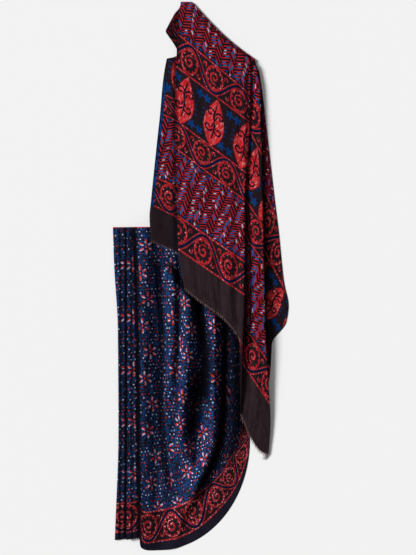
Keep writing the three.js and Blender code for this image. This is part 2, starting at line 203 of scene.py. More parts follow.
TUCK = -166
TURN_BULGE = 3
HEM_PRESS = {"share": 0.9, "from": -850, "to": -700}
LAYS = [
    {"from": -178, "to": "outer", "low": 1, "high": 1, "start": "tucked", "end": "outer"},
    {"from": "outer", "to": TUCK, "low": 7, "high": 4.4, "start": "outer", "end": "tucked"},
    {"from": TUCK, "to": "second", "low": 7.6, "high": 9.6, "start": "tucked", "end": "second"},
    {"from": "second", "to": TUCK, "low": 14.6, "high": 10.9, "start": "second", "end": "tucked"},
    {"from": TUCK, "to": "front", "low": 14.1, "high": 16.4, "start": "tucked", "end": "front"},
]
FRONT_CORNER = np.array([-195.0, -862.0])
print("skirt:", len(RIDGES), "ridges,", len(LAYS), "pleat lays")


# %% Skirt heights
def skirt_height(x, y, from_hem):
    """Height of the front's cloth, from its hem on the table up over the ridges."""
    crests = 0
    for ridge in RIDGES:
        offset = x - along(ridge, "x", y)
        reach = np.where(offset < 0, along(ridge, "left", y), along(ridge, "right", y))
        bell = 0.5 + 0.5 * np.cos(np.pi * np.minimum(1, np.abs(offset) / reach))
        crests = crests + along(ridge, "rise", y) * bell
    height = mix(TABLE_GAP, VALLEY, ease(0, HEM_RISE, from_hem)) + crests
    flat_y = ease(HIDDEN_WAIST["from"], HIDDEN_WAIST["flat"], y)
    flat_x = ease(HIDDEN_WAIST["left"], HIDDEN_WAIST["right"], x)
    return mix(height, HIDDEN_WAIST["lift"], flat_y * flat_x)


def pressed(height, y):
    """A pleat lay's height: the stack lies flatter towards its hem."""
    share = mix(HEM_PRESS["share"], 1, ease(HEM_PRESS["from"], HEM_PRESS["to"], y))
    return ON_TABLE + (height - ON_TABLE) * share


# %% [markdown]
# ## Threads of the front
#
# Each lengthwise thread leaves the hem squarely and swings up to the waist on one Bezier curve. Threads at
# even shares of the hem, crossed by rows at even shares of each thread's length, give the grid of the cloth.


# %% Hem and threads
HEM_STEPS = 60
THREAD_STEPS = 120
CORNER_PULL = np.array([-192, -880])
SWAG_START = -168
HEM_RIGHT = [(166, -430), (184, -340)]
FRONT_WAIST = (-214, 148)
FRONT_FADE = 6
UPRIGHT_BEFORE = 0.05
UPRIGHT_AFTER = (0.72, 0.96)
THREAD_LEAD = 150
LOOK = 0.004
UPRIGHT = np.array([0.0, 1.0])


def hem_outline():
    """The hem as closely spaced points: the corner's curve, the swag's ellipse and its last straight part."""
    t = np.linspace(0, 1, HEM_STEPS)[:, None]
    bottom = np.array([SWAG_START, SWAG["y"] - SWAG["ry"]])
    corner = FRONT_CORNER * (1 - t) ** 2 + CORNER_PULL * 2 * t * (1 - t) + bottom * t * t
    turn = np.linspace(-math.pi / 2, 0, 4 * HEM_STEPS)
    ellipse = np.stack([SWAG["x"] + SWAG["rx"] * np.cos(turn), SWAG["y"] + SWAG["ry"] * np.sin(turn)], axis=1)
    return np.concatenate([corner, ellipse, np.array(HEM_RIGHT)])


def spaced(points, shares):
    """Points at shares of a line's length."""
    length = np.concatenate([[0], np.cumsum(np.linalg.norm(np.diff(points, axis=0), axis=1))])
    at = np.clip(shares, 0, 1) * length[-1]
    return np.stack([np.interp(at, length, points[:, axis]) for axis in range(2)], axis=-1)


HEM = hem_outline()


def front_thread(share, rows):
    """One lengthwise thread, from the waist down to the hem, at shares of its length."""
    hem, behind, ahead = spaced(HEM, np.array([share, share - LOOK, share + LOOK]))
    inward = np.array([behind[1] - ahead[1], ahead[0] - behind[0]])
    inward = UPRIGHT if share < UPRIGHT_BEFORE else unit(inward)
    inward = unit(mix(inward, UPRIGHT, ease(*UPRIGHT_AFTER, share)))
    waist = np.array([mix(*FRONT_WAIST, share), WAIST])
    reach = np.linalg.norm(hem - waist)
    handles = [waist, waist - (0, reach / 3), hem + inward * min(reach / 3, THREAD_LEAD), hem]
    t = np.linspace(0, 1, THREAD_STEPS)[:, None]
    weights = [(1 - t) ** 3, 3 * t * (1 - t) ** 2, 3 * t * t * (1 - t), t**3]
    return spaced(sum(weight * handle for weight, handle in zip(weights, handles)), rows)


# %% Grid of the skirt
SKIRT_ROWS = 210
FRONT_COLUMNS = 126
PLEAT_COLUMNS = [5, 19, 7, 19, 7]
SHOWN_SHARE = 0.45
SHOWN_COLUMNS = 15
TURN_ANGLES = np.radians([-60, 0, 60])


def shares_across(count):
    """Even shares across a lay, or closer ones over the part that shows where the lay has many columns."""
    if count <= SHOWN_COLUMNS:
        return np.linspace(0, 1, count)
    hidden = np.linspace(SHOWN_SHARE, 1, count - SHOWN_COLUMNS + 1)
    return np.concatenate([np.linspace(0, SHOWN_SHARE, SHOWN_COLUMNS), hidden[1:]])


def pleat_columns(rows):
    """The stacked pleats: each lay's columns, with a rounded turn after it."""
    columns = []
    for n, lay in enumerate(LAYS):
        t = shares_across(PLEAT_COLUMNS[n])[None, :]
        y = mix(WAIST, mix(PLEAT_END[lay["start"]], PLEAT_END[lay["end"]], t), rows[:, None])
        edges = [along(PLEATS, end, y) if isinstance(end, str) else end for end in (lay["from"], lay["to"])]
        points = np.stack([mix(*edges, t), y, pressed(mix(lay["low"], lay["high"], t), y)], axis=-1)
        columns.append(points)
        last = points[:, -1:]
        if n + 1 < len(LAYS):
            above = pressed(LAYS[n + 1]["low"], last[..., 1])
        else:
            above = skirt_height(last[..., 0], last[..., 1], last[..., 1] - FRONT_CORNER[1])
        half = (above - last[..., 2]) / 2
        outward = -1 if n % 2 == 0 else 1
        turn_x = last[..., 0] + outward * np.minimum(half, TURN_BULGE) * np.cos(TURN_ANGLES)
        turn_z = last[..., 2] + half + half * np.sin(TURN_ANGLES)
        columns.append(np.stack([turn_x, np.broadcast_to(last[..., 1], turn_x.shape), turn_z], axis=-1))
    return np.concatenate(columns, axis=1)


def front_columns(rows):
    """The broad front, thread by thread."""
    shares = np.linspace(0, 1, FRONT_COLUMNS)
    threads = np.stack([front_thread(share, rows) for share in shares], axis=1)
    shift = along(PLEATS, "front", threads[:, 0, 1]) - threads[:, 0, 0]
    x = threads[..., 0] + shift[:, None] * (1 - shares) ** FRONT_FADE
    y = threads[..., 1]
    from_hem = np.linalg.norm(threads - threads[-1:], axis=-1)
    return np.stack([x, y, skirt_height(x, y, from_hem)], axis=-1)


rows_down = np.linspace(0, 1, SKIRT_ROWS)
pleats = pleat_columns(rows_down)
front = front_columns(rows_down)
skirt_points = np.concatenate([pleats, front], axis=1)
FIRST_FRONT = pleats.shape[1]
print("skirt grid", skirt_points.shape[:2])

# %% [markdown]
# ## Where the skirt's print lies
#
# The print's u runs round the hem and v runs up from it. A real skirt hides cloth in its folds, so the
# front is divided into gores along the valleys: in each, the print keeps its true size and is square to the
# gore's middle thread, and what doesn't fit is hidden in the valley. Near the hem all the gores join, so the
# border runs on without a break. Where the hem turns away at the right, less of the border shows.

# %% Skirt UV map
GORE_SHARES = [0.0, 0.2, 0.4, 0.58, 0.78, 1.0]
JOINED_BELOW = 150
GORES_ABOVE = 330
HEM_STRIP = 22
HEM_BORDER = 98
RING_PITCH = 88
RING_PLACES = [-47, 41, 120, 198, 301, 376, 466, 554, 642]
HEM_WIDTHS = table(
    "y strip border",
    (-340, 1, 30),
    (-542, 1, 34),
    (-614, 8, 58),
    (-697, 16, 72),
    (-768, 26, 86),
    (-832, 29, 104),
    (-882, 29, 104),
)


def lengths(points, axis):
    """Distance along the cloth from the start of an axis of a grid of points."""
    steps = np.linalg.norm(np.diff(points, axis=axis), axis=-1)
    start = np.zeros_like(np.take(steps, [0], axis=axis))
    return np.concatenate([start, np.cumsum(steps, axis=axis)], axis=axis)


def round_the_hem(up):
    """Each thread's place in the border's print, measured along the border's middle."""
    middle = HEM_STRIP + HEM_BORDER / 2
    line = [
        [np.interp(middle, up[::-1, column], skirt_points[::-1, column, axis]) for axis in range(3)]
        for column in range(skirt_points.shape[1])
    ]
    place = lengths(np.array(line), 0)
    place = place - place[FIRST_FRONT]
    return np.interp(place, RING_PLACES, (np.arange(len(RING_PLACES)) - 1) * RING_PITCH)


def up_the_print(up):
    """The print's v for a distance up from the hem, with the hem's strip and border as wide as they show."""
    hem_y = skirt_points[-1, :, 1]
    strip = along(HEM_WIDTHS, "strip", hem_y)
    border = along(HEM_WIDTHS, "border", hem_y)
    strip[:FIRST_FRONT] = HEM_STRIP
    border[:FIRST_FRONT] = HEM_BORDER
    in_strip = np.minimum(up, strip) / strip * HEM_STRIP
    in_border = np.clip(up - strip, 0, border) / border * HEM_BORDER
    return in_strip + in_border + np.maximum(up - strip - border, 0)


def corners_of(grid):
    """The four corners of each quad of a grid."""
    return np.stack([grid[:-1, :-1], grid[1:, :-1], grid[1:, 1:], grid[:-1, 1:]], axis=2)


def skirt_corner_uv():
    """For each quad of the skirt, the print's place at its four corners, in millimetres."""
    rows, columns = skirt_points.shape[:2]
    across = lengths(skirt_points, 1)
    across = across - across[:, FIRST_FRONT : FIRST_FRONT + 1]
    up = lengths(skirt_points[::-1], 0)[::-1]
    hem_u = round_the_hem(up)
    print_v = up_the_print(up)
    corners = np.zeros((rows - 1, columns - 1, 4, 2))
    bounds = [FIRST_FRONT + round(share * (FRONT_COLUMNS - 1)) for share in GORE_SHARES]
    for first, last in [(0, FIRST_FRONT)] + list(zip(bounds[:-1], bounds[1:])):
        part = slice(first, last + 1)
        u, v = across[:, part] + hem_u[FIRST_FRONT], print_v[:, part]
        if first >= FIRST_FRONT:
            u, v = gore_print(part, (first + last) // 2, across, hem_u, print_v)
        corners[:, first:last] = corners_of(np.stack([u, v], axis=-1))
    return corners


def gore_print(part, centre, across, hem_u, print_v):
    """The print's u and v in one gore, square to its middle thread away from the hem."""
    plan = skirt_points[:, :, :2]
    tangent = unit(-np.gradient(plan[:, centre], axis=0))[:, None]
    direction = unit(plan[:, part] - plan[:, centre : centre + 1])
    distance = across[:, part] - across[:, centre : centre + 1]
    sine = np.clip((direction * tangent).sum(-1), -0.98, 0.98)
    gore_u = hem_u[centre] + distance * np.sqrt(1 - sine**2)
    gore_v = print_v[:, centre : centre + 1] + np.abs(distance) * sine
    share = ease(JOINED_BELOW, GORES_ABOVE, print_v[:, part])
    return mix(hem_u[None, part], gore_u, share), mix(print_v[:, part], gore_v, share)


skirt_uv = skirt_corner_uv()
print("skirt print spans", np.round(np.ptp(skirt_uv.reshape(-1, 2), axis=0)), "mm")

# %% [markdown]
# ## The end panel's folds
#
# The end panel starts flat under the shoulder fold, turns over it, and comes down in four lays: a flap at
# the left, the broad middle and two narrow side folds. Each fold edge has its own curve as seen from above
# and its own height, and the lays between them hide a little cloth under each edge.

# %% End panel tables
TURN = 4.5
SHOULDER = 880
SHOULDER_LOW = 694
SHOULDER_SLOPE = {"from": -29, "length": 205, "dip": 14}
SHOULDER_HEIGHT = 7
PARTING = {"raised": 26, "start": 3, "spread": 40}
RISE_ROWS = (138, 240, 360, 480, 600)
RISE_EDGES = (-50, 148)
NEST = 1.5
OPENING = [0, 9, 18, 28, 40, 54, 70]
PANEL_ROWS = 18
END_ROW = len(OPENING) - 1 + PANEL_ROWS
EDGES = {
    "flap": table(
        "y x",
        (880, -67),
        (834, -90),
        (800, -108),
        (787, -114),
        (776, -108),
        (740, -84),
        (722, -76),
        (706, -78),
        (699, -110),
        (499, -134),
        (240, -161),
        (195, -165),
        (118, -160),
    ),
    "left": table("y x", (880, -67), (723, -75), (499, -80), (195, -73), (77, -68), (-32, -51)),
    "right": table(
        "y x",
        (694, 157),
        (595, 156),
        (371, 148),
        (243, 138),
        (-77, 137),
        (-205, 131),
        (-435, 134),
    ),
    "side": table(
        "y x",
        (694, 170),
        (595, 187),
        (371, 194),
        (243, 196),
        (-173, 204),
        (-349, 214),
        (-467, 220),
        (-583, 214),
    ),
    "outer": table(
        "y x",
        (694, 176),
        (675, 183),
        (563, 201),
        (499, 208),
        (243, 237),
        (147, 249),
        (-16, 266),
        (-96, 281),
        (-147, 274),
        (-218, 228),
        (-275, 225),
        (-330, 220),
        (-349, 216),
    ),
}
HIDDEN = table(
    "y flap middle side",
    (880, 6, 14, 12),
    (700, 24, 14, 12),
    (500, 44, 22, 22),
    (230, 70, 34, 38),
    (0, 78, 24, 30),
    (-205, 78, 6, 22),
    (-349, 78, 6, 12),
)
HEIGHTS = table(
    "y flap tuck left right under side below outer",
    (860, 3.5, 7, 12.5, 19, 8, 14.5, 5.8, 3.4),
    (690, 1.4, 8, 16, 19.5, 8, 14.5, 5.8, 3.4),
    (560, 1.2, 8, 18, 20, 8.2, 15, 6.4, 1.8),
    (400, 1.2, 8, 19, 21, 8.5, 16, 6.8, 1.4),
    (235, 2, 8.5, 21, 23, 9.5, 16, 6.8, 1.2),
    (135, 30, 26, 37, 35, 14, 22, 8, 1.2),
    (0, 34, 38, 48, 46, 28, 28, 9, 1.2),
    (-205, 35, 40, 48, 48, 26, 26, 8, 1.2),
    (-350, 35, 40, 48, 48, 22, 17, 6, 1.2),
    (-460, 35, 40, 48, 48, 18, 10, 4.5, 1.2),
    (-583, 35, 40, 48, 48, 8, 4.4, 3.4, 1.2),
)
CORNERS = {
    "flap": {"start": -67, "end": 120, "edge": "flap"},
    "tuck": {"start": -58, "end": 44, "edge": "left", "hidden": "flap", "way": 1},
    "left": {"start": -50, "end": -32, "edge": "left"},
    "right": {"start": 132, "end": -205, "edge": "right"},
    "under": {"start": 142, "end": -435, "edge": "right", "hidden": "middle", "way": -1},
    "side": {"start": 157, "end": -566, "edge": "side"},
    "below": {"start": 166, "end": -349, "edge": "side", "hidden": "side", "way": -1},
    "outer": {"start": 176, "end": -349, "edge": "outer"},
}
SHOULDER_TURN = [(-22, 1), (-2, 1.8), (0.6, 4), (-2, 6.4)]
PANEL_LAYS = [
    dict(zip("from to leave meet columns crown sag late".split(), lay))
    for lay in [
        ("flap", "tuck", 0, -1, 22, 0, 0, 1),
        ("tuck", "left", 1, -1, 8, 0, 0, 1),
        ("left", "right", 1, 1, 66, 2, -20, 2),
        ("right", "under", -1, 1, 6, 0, 0, 1),
        ("under", "side", -1, 1, 26, 1.5, 33, 1),
        ("side", "below", -1, 1, 6, 0, 0, 1),
        ("below", "outer", -1, 0, 24, 2.5, 0, 1),
    ]
]
print("end panel:", len(PANEL_LAYS), "lays")


# %% End panel points
def corner_x(corner, y):
    """Where a fold's corner is: on its edge, or inside it by the width of the hidden cloth."""
    x = along(EDGES[corner["edge"]], "x", y)
    if "hidden" in corner:
        x = x + corner["way"] * along(HIDDEN, corner["hidden"], y)
    return x


def drop_of(row, length):
    """How far down a thread a row lies: the opening below the shoulder first, then even steps."""
    opening = np.interp(row, np.arange(len(OPENING)), OPENING)
    share = (row - len(OPENING) + 1) / PANEL_ROWS
    return np.where(share <= 0, opening, mix(OPENING[-1], length, share))


def panel_points(lay, t, row, beyond=0.0):
    """Points on one lay of the end panel: t across it, row down it, beyond past its cut end."""
    first, last = CORNERS[lay["from"]], CORNERS[lay["to"]]
    start = mix(first["start"] + NEST, last["start"] - NEST, t)
    slope = np.clip((start - SHOULDER_SLOPE["from"]) / SHOULDER_SLOPE["length"], 0, 1)
    top = mix(SHOULDER, SHOULDER_LOW, slope) - SHOULDER_SLOPE["dip"] * np.sin(np.pi * slope)
    cut = mix(first["end"], last["end"], t) - lay["sag"] * np.sin(np.pi * t ** lay["late"])
    y = top - drop_of(row, top - cut) - beyond
    raised = ease(0, PARTING["raised"], top - y)
    spread = ease(PARTING["start"], PARTING["spread"], top - y)
    lift = TURN / 2 * raised
    heights = [
        along(HEIGHTS, lay["from"], y) + lay["leave"] * lift,
        along(HEIGHTS, lay["to"], y) + lay["meet"] * lift,
    ]
    crown = lay["crown"] * np.sin(np.pi * t)
    x = mix(start, mix(corner_x(first, y), corner_x(last, y), t), spread)
    return np.stack([x, y, mix(SHOULDER_HEIGHT, mix(*heights, t) + crown, raised)], axis=-1)


# %% [markdown]
# ## Where the end panel's print lies
#
# The design crosses the panel in bands: herringbone, border, leaves, border, herringbone, border and a plain
# end. The bands slope more steeply on each fold, because each fold turned a little as it fell. So each lay
# has a small map of its own: a slope, a lean, and a table of where the bands' edges cross its middle.
# The places are in pixels of the photograph, x and then y down, because the bands were measured there. Only
# each band's place along the cloth and its shift sideways are in millimetres.

# %% Print maps of the four lays
PANEL_PITCH = 98.3
PANEL_START = 43
PRINT_MAPS = {
    "flap": {
        "x": 178,
        "lean": 0.057,
        "stretch": 1.15,
        "at": (168.8, 196.1, PANEL_START - PANEL_PITCH),
        "lines": table(
            "y slope place shift",
            (20, 0.44, 20, 0),
            (42, 0.44, 78, -36),
            (99.4, 0.44, 251, -38),
            (121, 0.44, 341, -38),
            (186, 0.44, 529, 0),
            (218.5, 0.5, 621, 0),
            (255, 0.6, 728, 0),
        ),
    },
    "left": {
        "x": 178,
        "lean": 0.173,
        "stretch": 1.0964,
        "at": (190, 59, PANEL_START),
        "lines": table(
            "y slope place shift",
            (-40, 0.74, -214, 0),
            (33, 0.84, 0, 0),
            (69, 0.755, 78, 0),
            (121, 0.75, 251, 0),
            (150.9, 0.757, 341, 0),
            (215, 0.69, 529, 34),
            (250, 0.69, 621, 34),
            (288, 0.7, 728, 0),
        ),
    },
    "under": {
        "x": 253,
        "lean": 0.483,
        "stretch": 1.036,
        "at": (253, 115.5, PANEL_START + 3 * PANEL_PITCH),
        "lines": table(
            "y slope place shift",
            (20, 1.4, -170, 0),
            (97.4, 1.44, 0, 0),
            (138.4, 2.0, 78, 0),
            (174, 1.75, 165, -30),
            (209.5, 1.53, 251, 0),
            (248.3, 1.41, 341, 0),
            (338, 1.5, 529, 12),
            (380, 1.5, 621, 6),
            (424, 1.5, 728, 0),
        ),
    },
    "below": {
        "x": 272,
        "lean": 0.6,
        "stretch": 1.097,
        "at": (268.8, 221, PANEL_START + 5 * PANEL_PITCH),
        "lines": table(
            "y slope place shift",
            (40, 1.9, -330, 0),
            (205, 2.5, 0, 0),
            (266.7, 1.88, 78, 0),
            (272, 1.6, 90, 30),
            (299, 1.4, 168, 40),
            (326, 1.3, 248, 30),
            (370, 1.3, 250, 0),
        ),
    },
}
END_SLACK = 3.2


def print_place(name, points):
    """The print's place, across and along the panel in millimetres, at points on a lay."""
    lay = PRINT_MAPS[name]
    px, py = pixel_of(points[..., 0], points[..., 1])
    lines = lay["lines"]
    levels = [y + slope * (px - lay["x"]) for y, slope in zip(lines["y"], lines["slope"])]
    lengthwise = lines["place"][0] + np.minimum(py - levels[0], 0) * END_SLACK
    lengthwise = lengthwise + np.maximum(py - levels[-1], 0) * END_SLACK
    shift = lines["shift"][0]
    for n in range(len(levels) - 1):
        share = np.clip((py - levels[n]) / (levels[n + 1] - levels[n]), 0, 1)
        lengthwise = lengthwise + share * (lines["place"][n + 1] - lines["place"][n])
        shift = shift + share * (lines["shift"][n + 1] - lines["shift"][n])
    from_x, from_y, start = lay["at"]
    crosswise = (px - from_x + lay["lean"] * (py - from_y)) * lay["stretch"] * PIXEL
    return np.stack([start + crosswise + shift, lengthwise], axis=-1)


# %% Grid of the end panel
ROW_STEPS = np.concatenate([np.linspace(0, 6, 25), np.linspace(6, END_ROW, 150)[1:]])
EDGE_ROWS = (1.5, 3.5, 5.0)
TURN_STEPS = np.radians([-65, 0, 65])


def turned(last, following, to):
    """The rounded turn between two lays, and the print carried round it."""
    outward = -1 if to in ("left", "under", "below") else 1
    nested = np.clip(np.abs(following[:, 0] - last[:, 0]) / (2 * NEST), 0, 1)
    bulge = np.abs(following[:, 2] - last[:, 2]) / 2 * (1 - nested)
    shares = 0.5 + 0.5 * np.sin(TURN_STEPS)
    points = last[:, None] + (following - last)[:, None] * shares[None, :, None]
    points[..., 0] += outward * bulge[:, None] * np.cos(TURN_STEPS)
    return points


def panel_grid():
    """All the lays side by side with their turns: points, print places and distance from the selvedge."""
    rows = np.concatenate([ROW_STEPS[1:], np.full(len(EDGE_ROWS), END_ROW)])[:, None]
    beyond = np.concatenate([np.zeros(len(ROW_STEPS) - 1), EDGE_ROWS])[:, None]
    lays = []
    for lay in PANEL_LAYS:
        t = np.linspace(0, 1, lay["columns"])[None, :]
        lays.append(panel_points(lay, t, rows, beyond))
    points, places = [], []
    for n, lay in enumerate(PANEL_LAYS):
        if lay["from"] in PRINT_MAPS:
            place = print_place(lay["from"], lays[n])
        else:
            first = print_place(PANEL_LAYS[n - 1]["from"], lays[n - 1][:, -1:])
            last = print_place(PANEL_LAYS[n + 1]["from"], lays[n + 1][:, :1])
            place = mix(first, last, np.linspace(0, 1, lay["columns"])[None, :, None])
        points.append(lays[n])
        places.append(place)
        if n + 1 < len(PANEL_LAYS):
            points.append(turned(lays[n][:, -1], lays[n + 1][:, 0], lay["to"]))
            places.append(np.repeat(place[:, -1:], len(TURN_STEPS), axis=1))
    return np.concatenate(points, axis=1), np.concatenate(places, axis=1)


panel_body, panel_places = panel_grid()
print("end panel grid", panel_body.shape[:2])

# %% [markdown]
# ## Creases
#
# Crinkled cotton is never smooth. Three kinds of form are added to the upper cloth: a few soft creases placed
# where the cloth was folded, long soft waves along the folds, and a fine crinkle. The waves are sums of sines
# with random phases from a fixed seed, so every run gives the same cloth.


# %% Crease functions
def fold_line(width, depth, *path):
    """A line down the cloth, with its half width in millimetres, its depth and its places by falling y."""
    return {"width": width, "depth": depth, "path": table("y x", *path)}


def within_line(line, y, outside, inside):
    """1 along a line and 0 past its two ends, with a fade from outside each end to inside it."""
    start, end = line["path"]["y"][0], line["path"]["y"][-1]
    return ease(end - outside, end + inside, y) * (1 - ease(start - inside, start + outside, y))


CREASE_FADE = (60, 40)
CREASES = {
    "left": [
        fold_line(16, -2.6, (800, -8), (560, 8), (200, 40), (-120, 66)),
        fold_line(18, 2.4, (760, 40), (420, 66), (60, 84), (-160, 92)),
        fold_line(11, -3.0, (640, 128), (371, 124), (60, 116), (-200, 112)),
        fold_line(12, 2.0, (700, -52), (420, -50), (120, -40), (-30, -30)),
    ],
    "flap": [
        fold_line(10, -0.8, (640, -104), (420, -118), (150, -128)),
    ],
    "under": [
        fold_line(9, 2.2, (500, 168), (100, 178), (-300, 178), (-460, 176)),
        fold_line(8, -2.0, (300, 152), (-100, 158), (-380, 158)),
    ],
    "below": [
        fold_line(9, 2.0, (400, 214), (120, 226), (-60, 240)),
        fold_line(8, -2.4, (20, 262), (-60, 252), (-150, 236)),
    ],
}


def creased(points, creases):
    """Heights of the listed creases at points."""
    height = np.zeros(points.shape[:-1])
    for crease in creases:
        offset = points[..., 0] - along(crease["path"], "x", points[..., 1])
        within = within_line(crease, points[..., 1], *CREASE_FADE)
        height += crease["depth"] * within * np.exp(-((offset / crease["width"]) ** 2))
    return height


def waves(across, down, seed, size, run, count=9):
    """Soft waves of about the given size across the cloth, which wander over a run along it."""
    random = np.random.default_rng(seed)
    total = np.zeros_like(across)
    for _ in range(count):
        wavelength = size * random.uniform(0.6, 1.7)
        lean, wander, sway = random.uniform(-1, 1, 3)
        phase = random.uniform(0, 2 * np.pi, 3)
        bent = np.sin(2 * np.pi * down / (run * (1 + 0.4 * wander)) + phase[0]) * 1.6
        swell = 0.6 + 0.4 * np.sin(2 * np.pi * down / (run * (1.6 + 0.5 * sway)) + phase[1])
        total += swell * np.sin(2 * np.pi * (across / wavelength + lean * down / run) + bent + phase[2])
    return total / math.sqrt(count)


# %% Crease the skirt and the end panel
SKIRT_WAVES = {"seed": 11, "size": 46, "run": 300}
SKIRT_CRINKLE = {"seed": 12, "size": 15, "run": 90}
PLEAT_WAVES = {"seed": 13, "size": 22, "run": 160}
PANEL_WAVES = {"seed": 21, "size": 40, "run": 260}
PANEL_CRINKLE = {"seed": 22, "size": 13, "run": 80}
CALM_COLUMNS = 4
HEM_CALM = 60
WAIST_CALM = 50
PLEAT_CALM = 40
COVERED_ABOVE = (60, 150)
SHOULDER_CALM = (60, 150)
LAY_CALM = 0.1


def crease_skirt():
    """The skirt's upper cloth, with soft waves between its ridges and a fine crinkle."""
    across = lengths(skirt_points, 1)
    down = lengths(skirt_points, 0)
    up = lengths(skirt_points[::-1], 0)[::-1]
    upper = np.zeros(skirt_points.shape[1])
    upper[FIRST_FRONT + CALM_COLUMNS :] = 1
    free = upper * ease(0, HEM_CALM, up) * ease(0, WAIST_CALM, down)
    covered_x = ease(HIDDEN_WAIST["left"], HIDDEN_WAIST["right"], skirt_points[..., 0])
    free = free * (1 - ease(*COVERED_ABOVE, skirt_points[..., 1]) * covered_x)
    height = 1.15 * waves(across, down, **SKIRT_WAVES) + 0.5 * waves(across, down, **SKIRT_CRINKLE)
    points = skirt_points.copy()
    points[..., 2] += free * height
    stacked = (1 - upper) * ease(0, PLEAT_CALM, up) * ease(0, PLEAT_CALM, down)
    points[..., 2] += stacked * 0.35 * waves(across, down, **PLEAT_WAVES)
    return points


def crease_panel():
    """The end panel, with its listed creases and its crinkle on the lays that show."""
    points = panel_body.copy()
    across = lengths(points, 1)
    down = lengths(points, 0)
    soft = 0.9 * waves(across, down, **PANEL_WAVES) + 0.45 * waves(across, down, **PANEL_CRINKLE)
    column = 0
    for n, lay in enumerate(PANEL_LAYS):
        part = slice(column, column + lay["columns"])
        t = np.linspace(0, 1, lay["columns"])[None, :]
        if lay["from"] in CREASES:
            inside = 1 - ease(1 - LAY_CALM, 1, t)
            if lay["from"] != "flap":
                inside = ease(0, LAY_CALM, t) * inside
            below = ease(*SHOULDER_CALM, down[:, part])
            low = np.clip((points[:, part, 2] - ON_TABLE) / 4, 0, 1)
            crease = creased(points[:, part], CREASES[lay["from"]]) + soft[:, part]
            points[:, part, 2] += inside * below * low * crease
        column += lay["columns"] + len(TURN_STEPS)
    return points


def shoulder_line():
    """The end panel's points on the shoulder fold, one for each column of its grid."""
    line = []
    for n, lay in enumerate(PANEL_LAYS):
        columns = lay["columns"] + (0 if n == 0 else len(TURN_STEPS))
        line.append(panel_points(lay, np.linspace(0, 1, columns)[None, :], np.zeros((1, 1)))[0])
    return np.concatenate(line)


def riser(shoulder):
    """The hidden layer from the skirt up to the shoulder, and the shoulder's turn."""
    share = (shoulder[:, 0] - shoulder[0, 0]) / (shoulder[-1, 0] - shoulder[0, 0])
    x = mix(*RISE_EDGES, share)
    flat = [np.stack([x, np.full_like(share, y), np.full_like(share, ON_TABLE)], axis=1) for y in RISE_ROWS]
    turn = [shoulder * (1, 1, 0) + (0, ahead, height) for ahead, height in SHOULDER_TURN]
    return np.stack(flat + turn)


skirt_points = crease_skirt()
shoulder_row = shoulder_line()
panel_top = riser(shoulder_row)
shoulder_top = shoulder_row[None] * (1, 1, 0) + (0, 0, SHOULDER_HEIGHT)
panel_rows = np.concatenate([panel_top, shoulder_top, crease_panel()])
print("creased: skirt", skirt_points.shape[:2], "end panel", panel_rows.shape[:2])

# %% [markdown]
# ## The shade in the folds
#
# Where the real cloth hangs in deep folds, their hidden sides are almost black. Laid cloth has low folds that
# can't shade themselves so much. So the dark lines are painted shade: they are worked out here, as one number
# at each point of the cloth, and the materials paint the dye darker by it. Each line has its half width, its
# darkness and its places.

# %% Shades
# Painted shade: each line's depth is how dark it is painted into the cloth's colour.
SHADE_FADE = (50, 20)
PLEAT_SHADES = [
    fold_line(11, 1.0, (160, -214), (38, -209), (-170, -204), (-499, -201), (-861, -198)),
    fold_line(7.5, 1.0, (160, -242), (-77, -241), (-461, -241), (-861, -244)),
    fold_line(5, 0.9, (160, -262), (-77, -258), (-461, -258), (-861, -262)),
    fold_line(4.5, 0.8, (160, -226), (-77, -224), (-461, -223), (-861, -222)),
]
FRONT_SHADES = [
    fold_line(6, 1.0, (157, -211), (38, -206), (-170, -200), (-499, -197), (-740, -195)),
    fold_line(13, 0.85, (45, -141), (-77, -131), (-237, -126), (-397, -128), (-557, -122), (-685, -102)),
    fold_line(8, 0.5, (-77, -176), (-269, -173), (-557, -170)),
    fold_line(8, 0.6, (-77, -80), (-237, -74), (-397, -77), (-493, -93)),
    fold_line(24, 1.0, (-13, -48), (-96, -13), (-189, 6), (-285, 13), (-397, 6)),
    fold_line(28, 0.93, (-317, -8), (-397, -20), (-461, -22), (-510, -34)),
    fold_line(18, 0.95, (45, -106), (-45, -45), (-80, -3), (-118, 48), (-150, 86), (-192, 115)),
    fold_line(16, 1.0, (-128, 80), (-221, 78), (-333, 74), (-461, 70), (-573, 46), (-653, 9), (-717, -26)),
    fold_line(48, 0.95, (-128, 128), (-333, 122), (-493, 120), (-621, 96), (-685, 60)),
]
PANEL_SHADES = [
    fold_line(6, 0.8, (845, -75), (723, -75)),
    fold_line(20, 0.8, (851, -93), (739, -96)),
    fold_line(6, 0.95, (-245, 124), (-330, 123), (-470, 125)),
    fold_line(9, 0.75, (691, -82), (467, -83), (83, -81)),
    fold_line(60, 0.4, (215, -125), (100, -125)),
    fold_line(7, 0.75, (659, 144), (403, 147), (83, 144), (-205, 141)),
    fold_line(6, 0.8, (595, 195), (371, 198), (147, 203), (-205, 211)),
]
SKIRT_SHADED_ABOVE = (100, 135)
FRONT_EDGE_COLUMNS = 3
TAIL_SHADE = {"strength": 0.9, "above": (-530, -490), "right": (110, 135)}


def shaded(points, shades):
    """How dark the folds' hidden sides make the cloth at each point, from 0 to 1."""
    light = np.ones(points.shape[:-1])
    y = points[..., 1]
    for line in shades:
        offset = (points[..., 0] - along(line["path"], "x", y)) / line["width"]
        within = within_line(line, y, *SHADE_FADE)
        light = light * (1 - line["depth"] * within * np.exp(-(np.abs(offset) ** 3)))
    return 1 - light


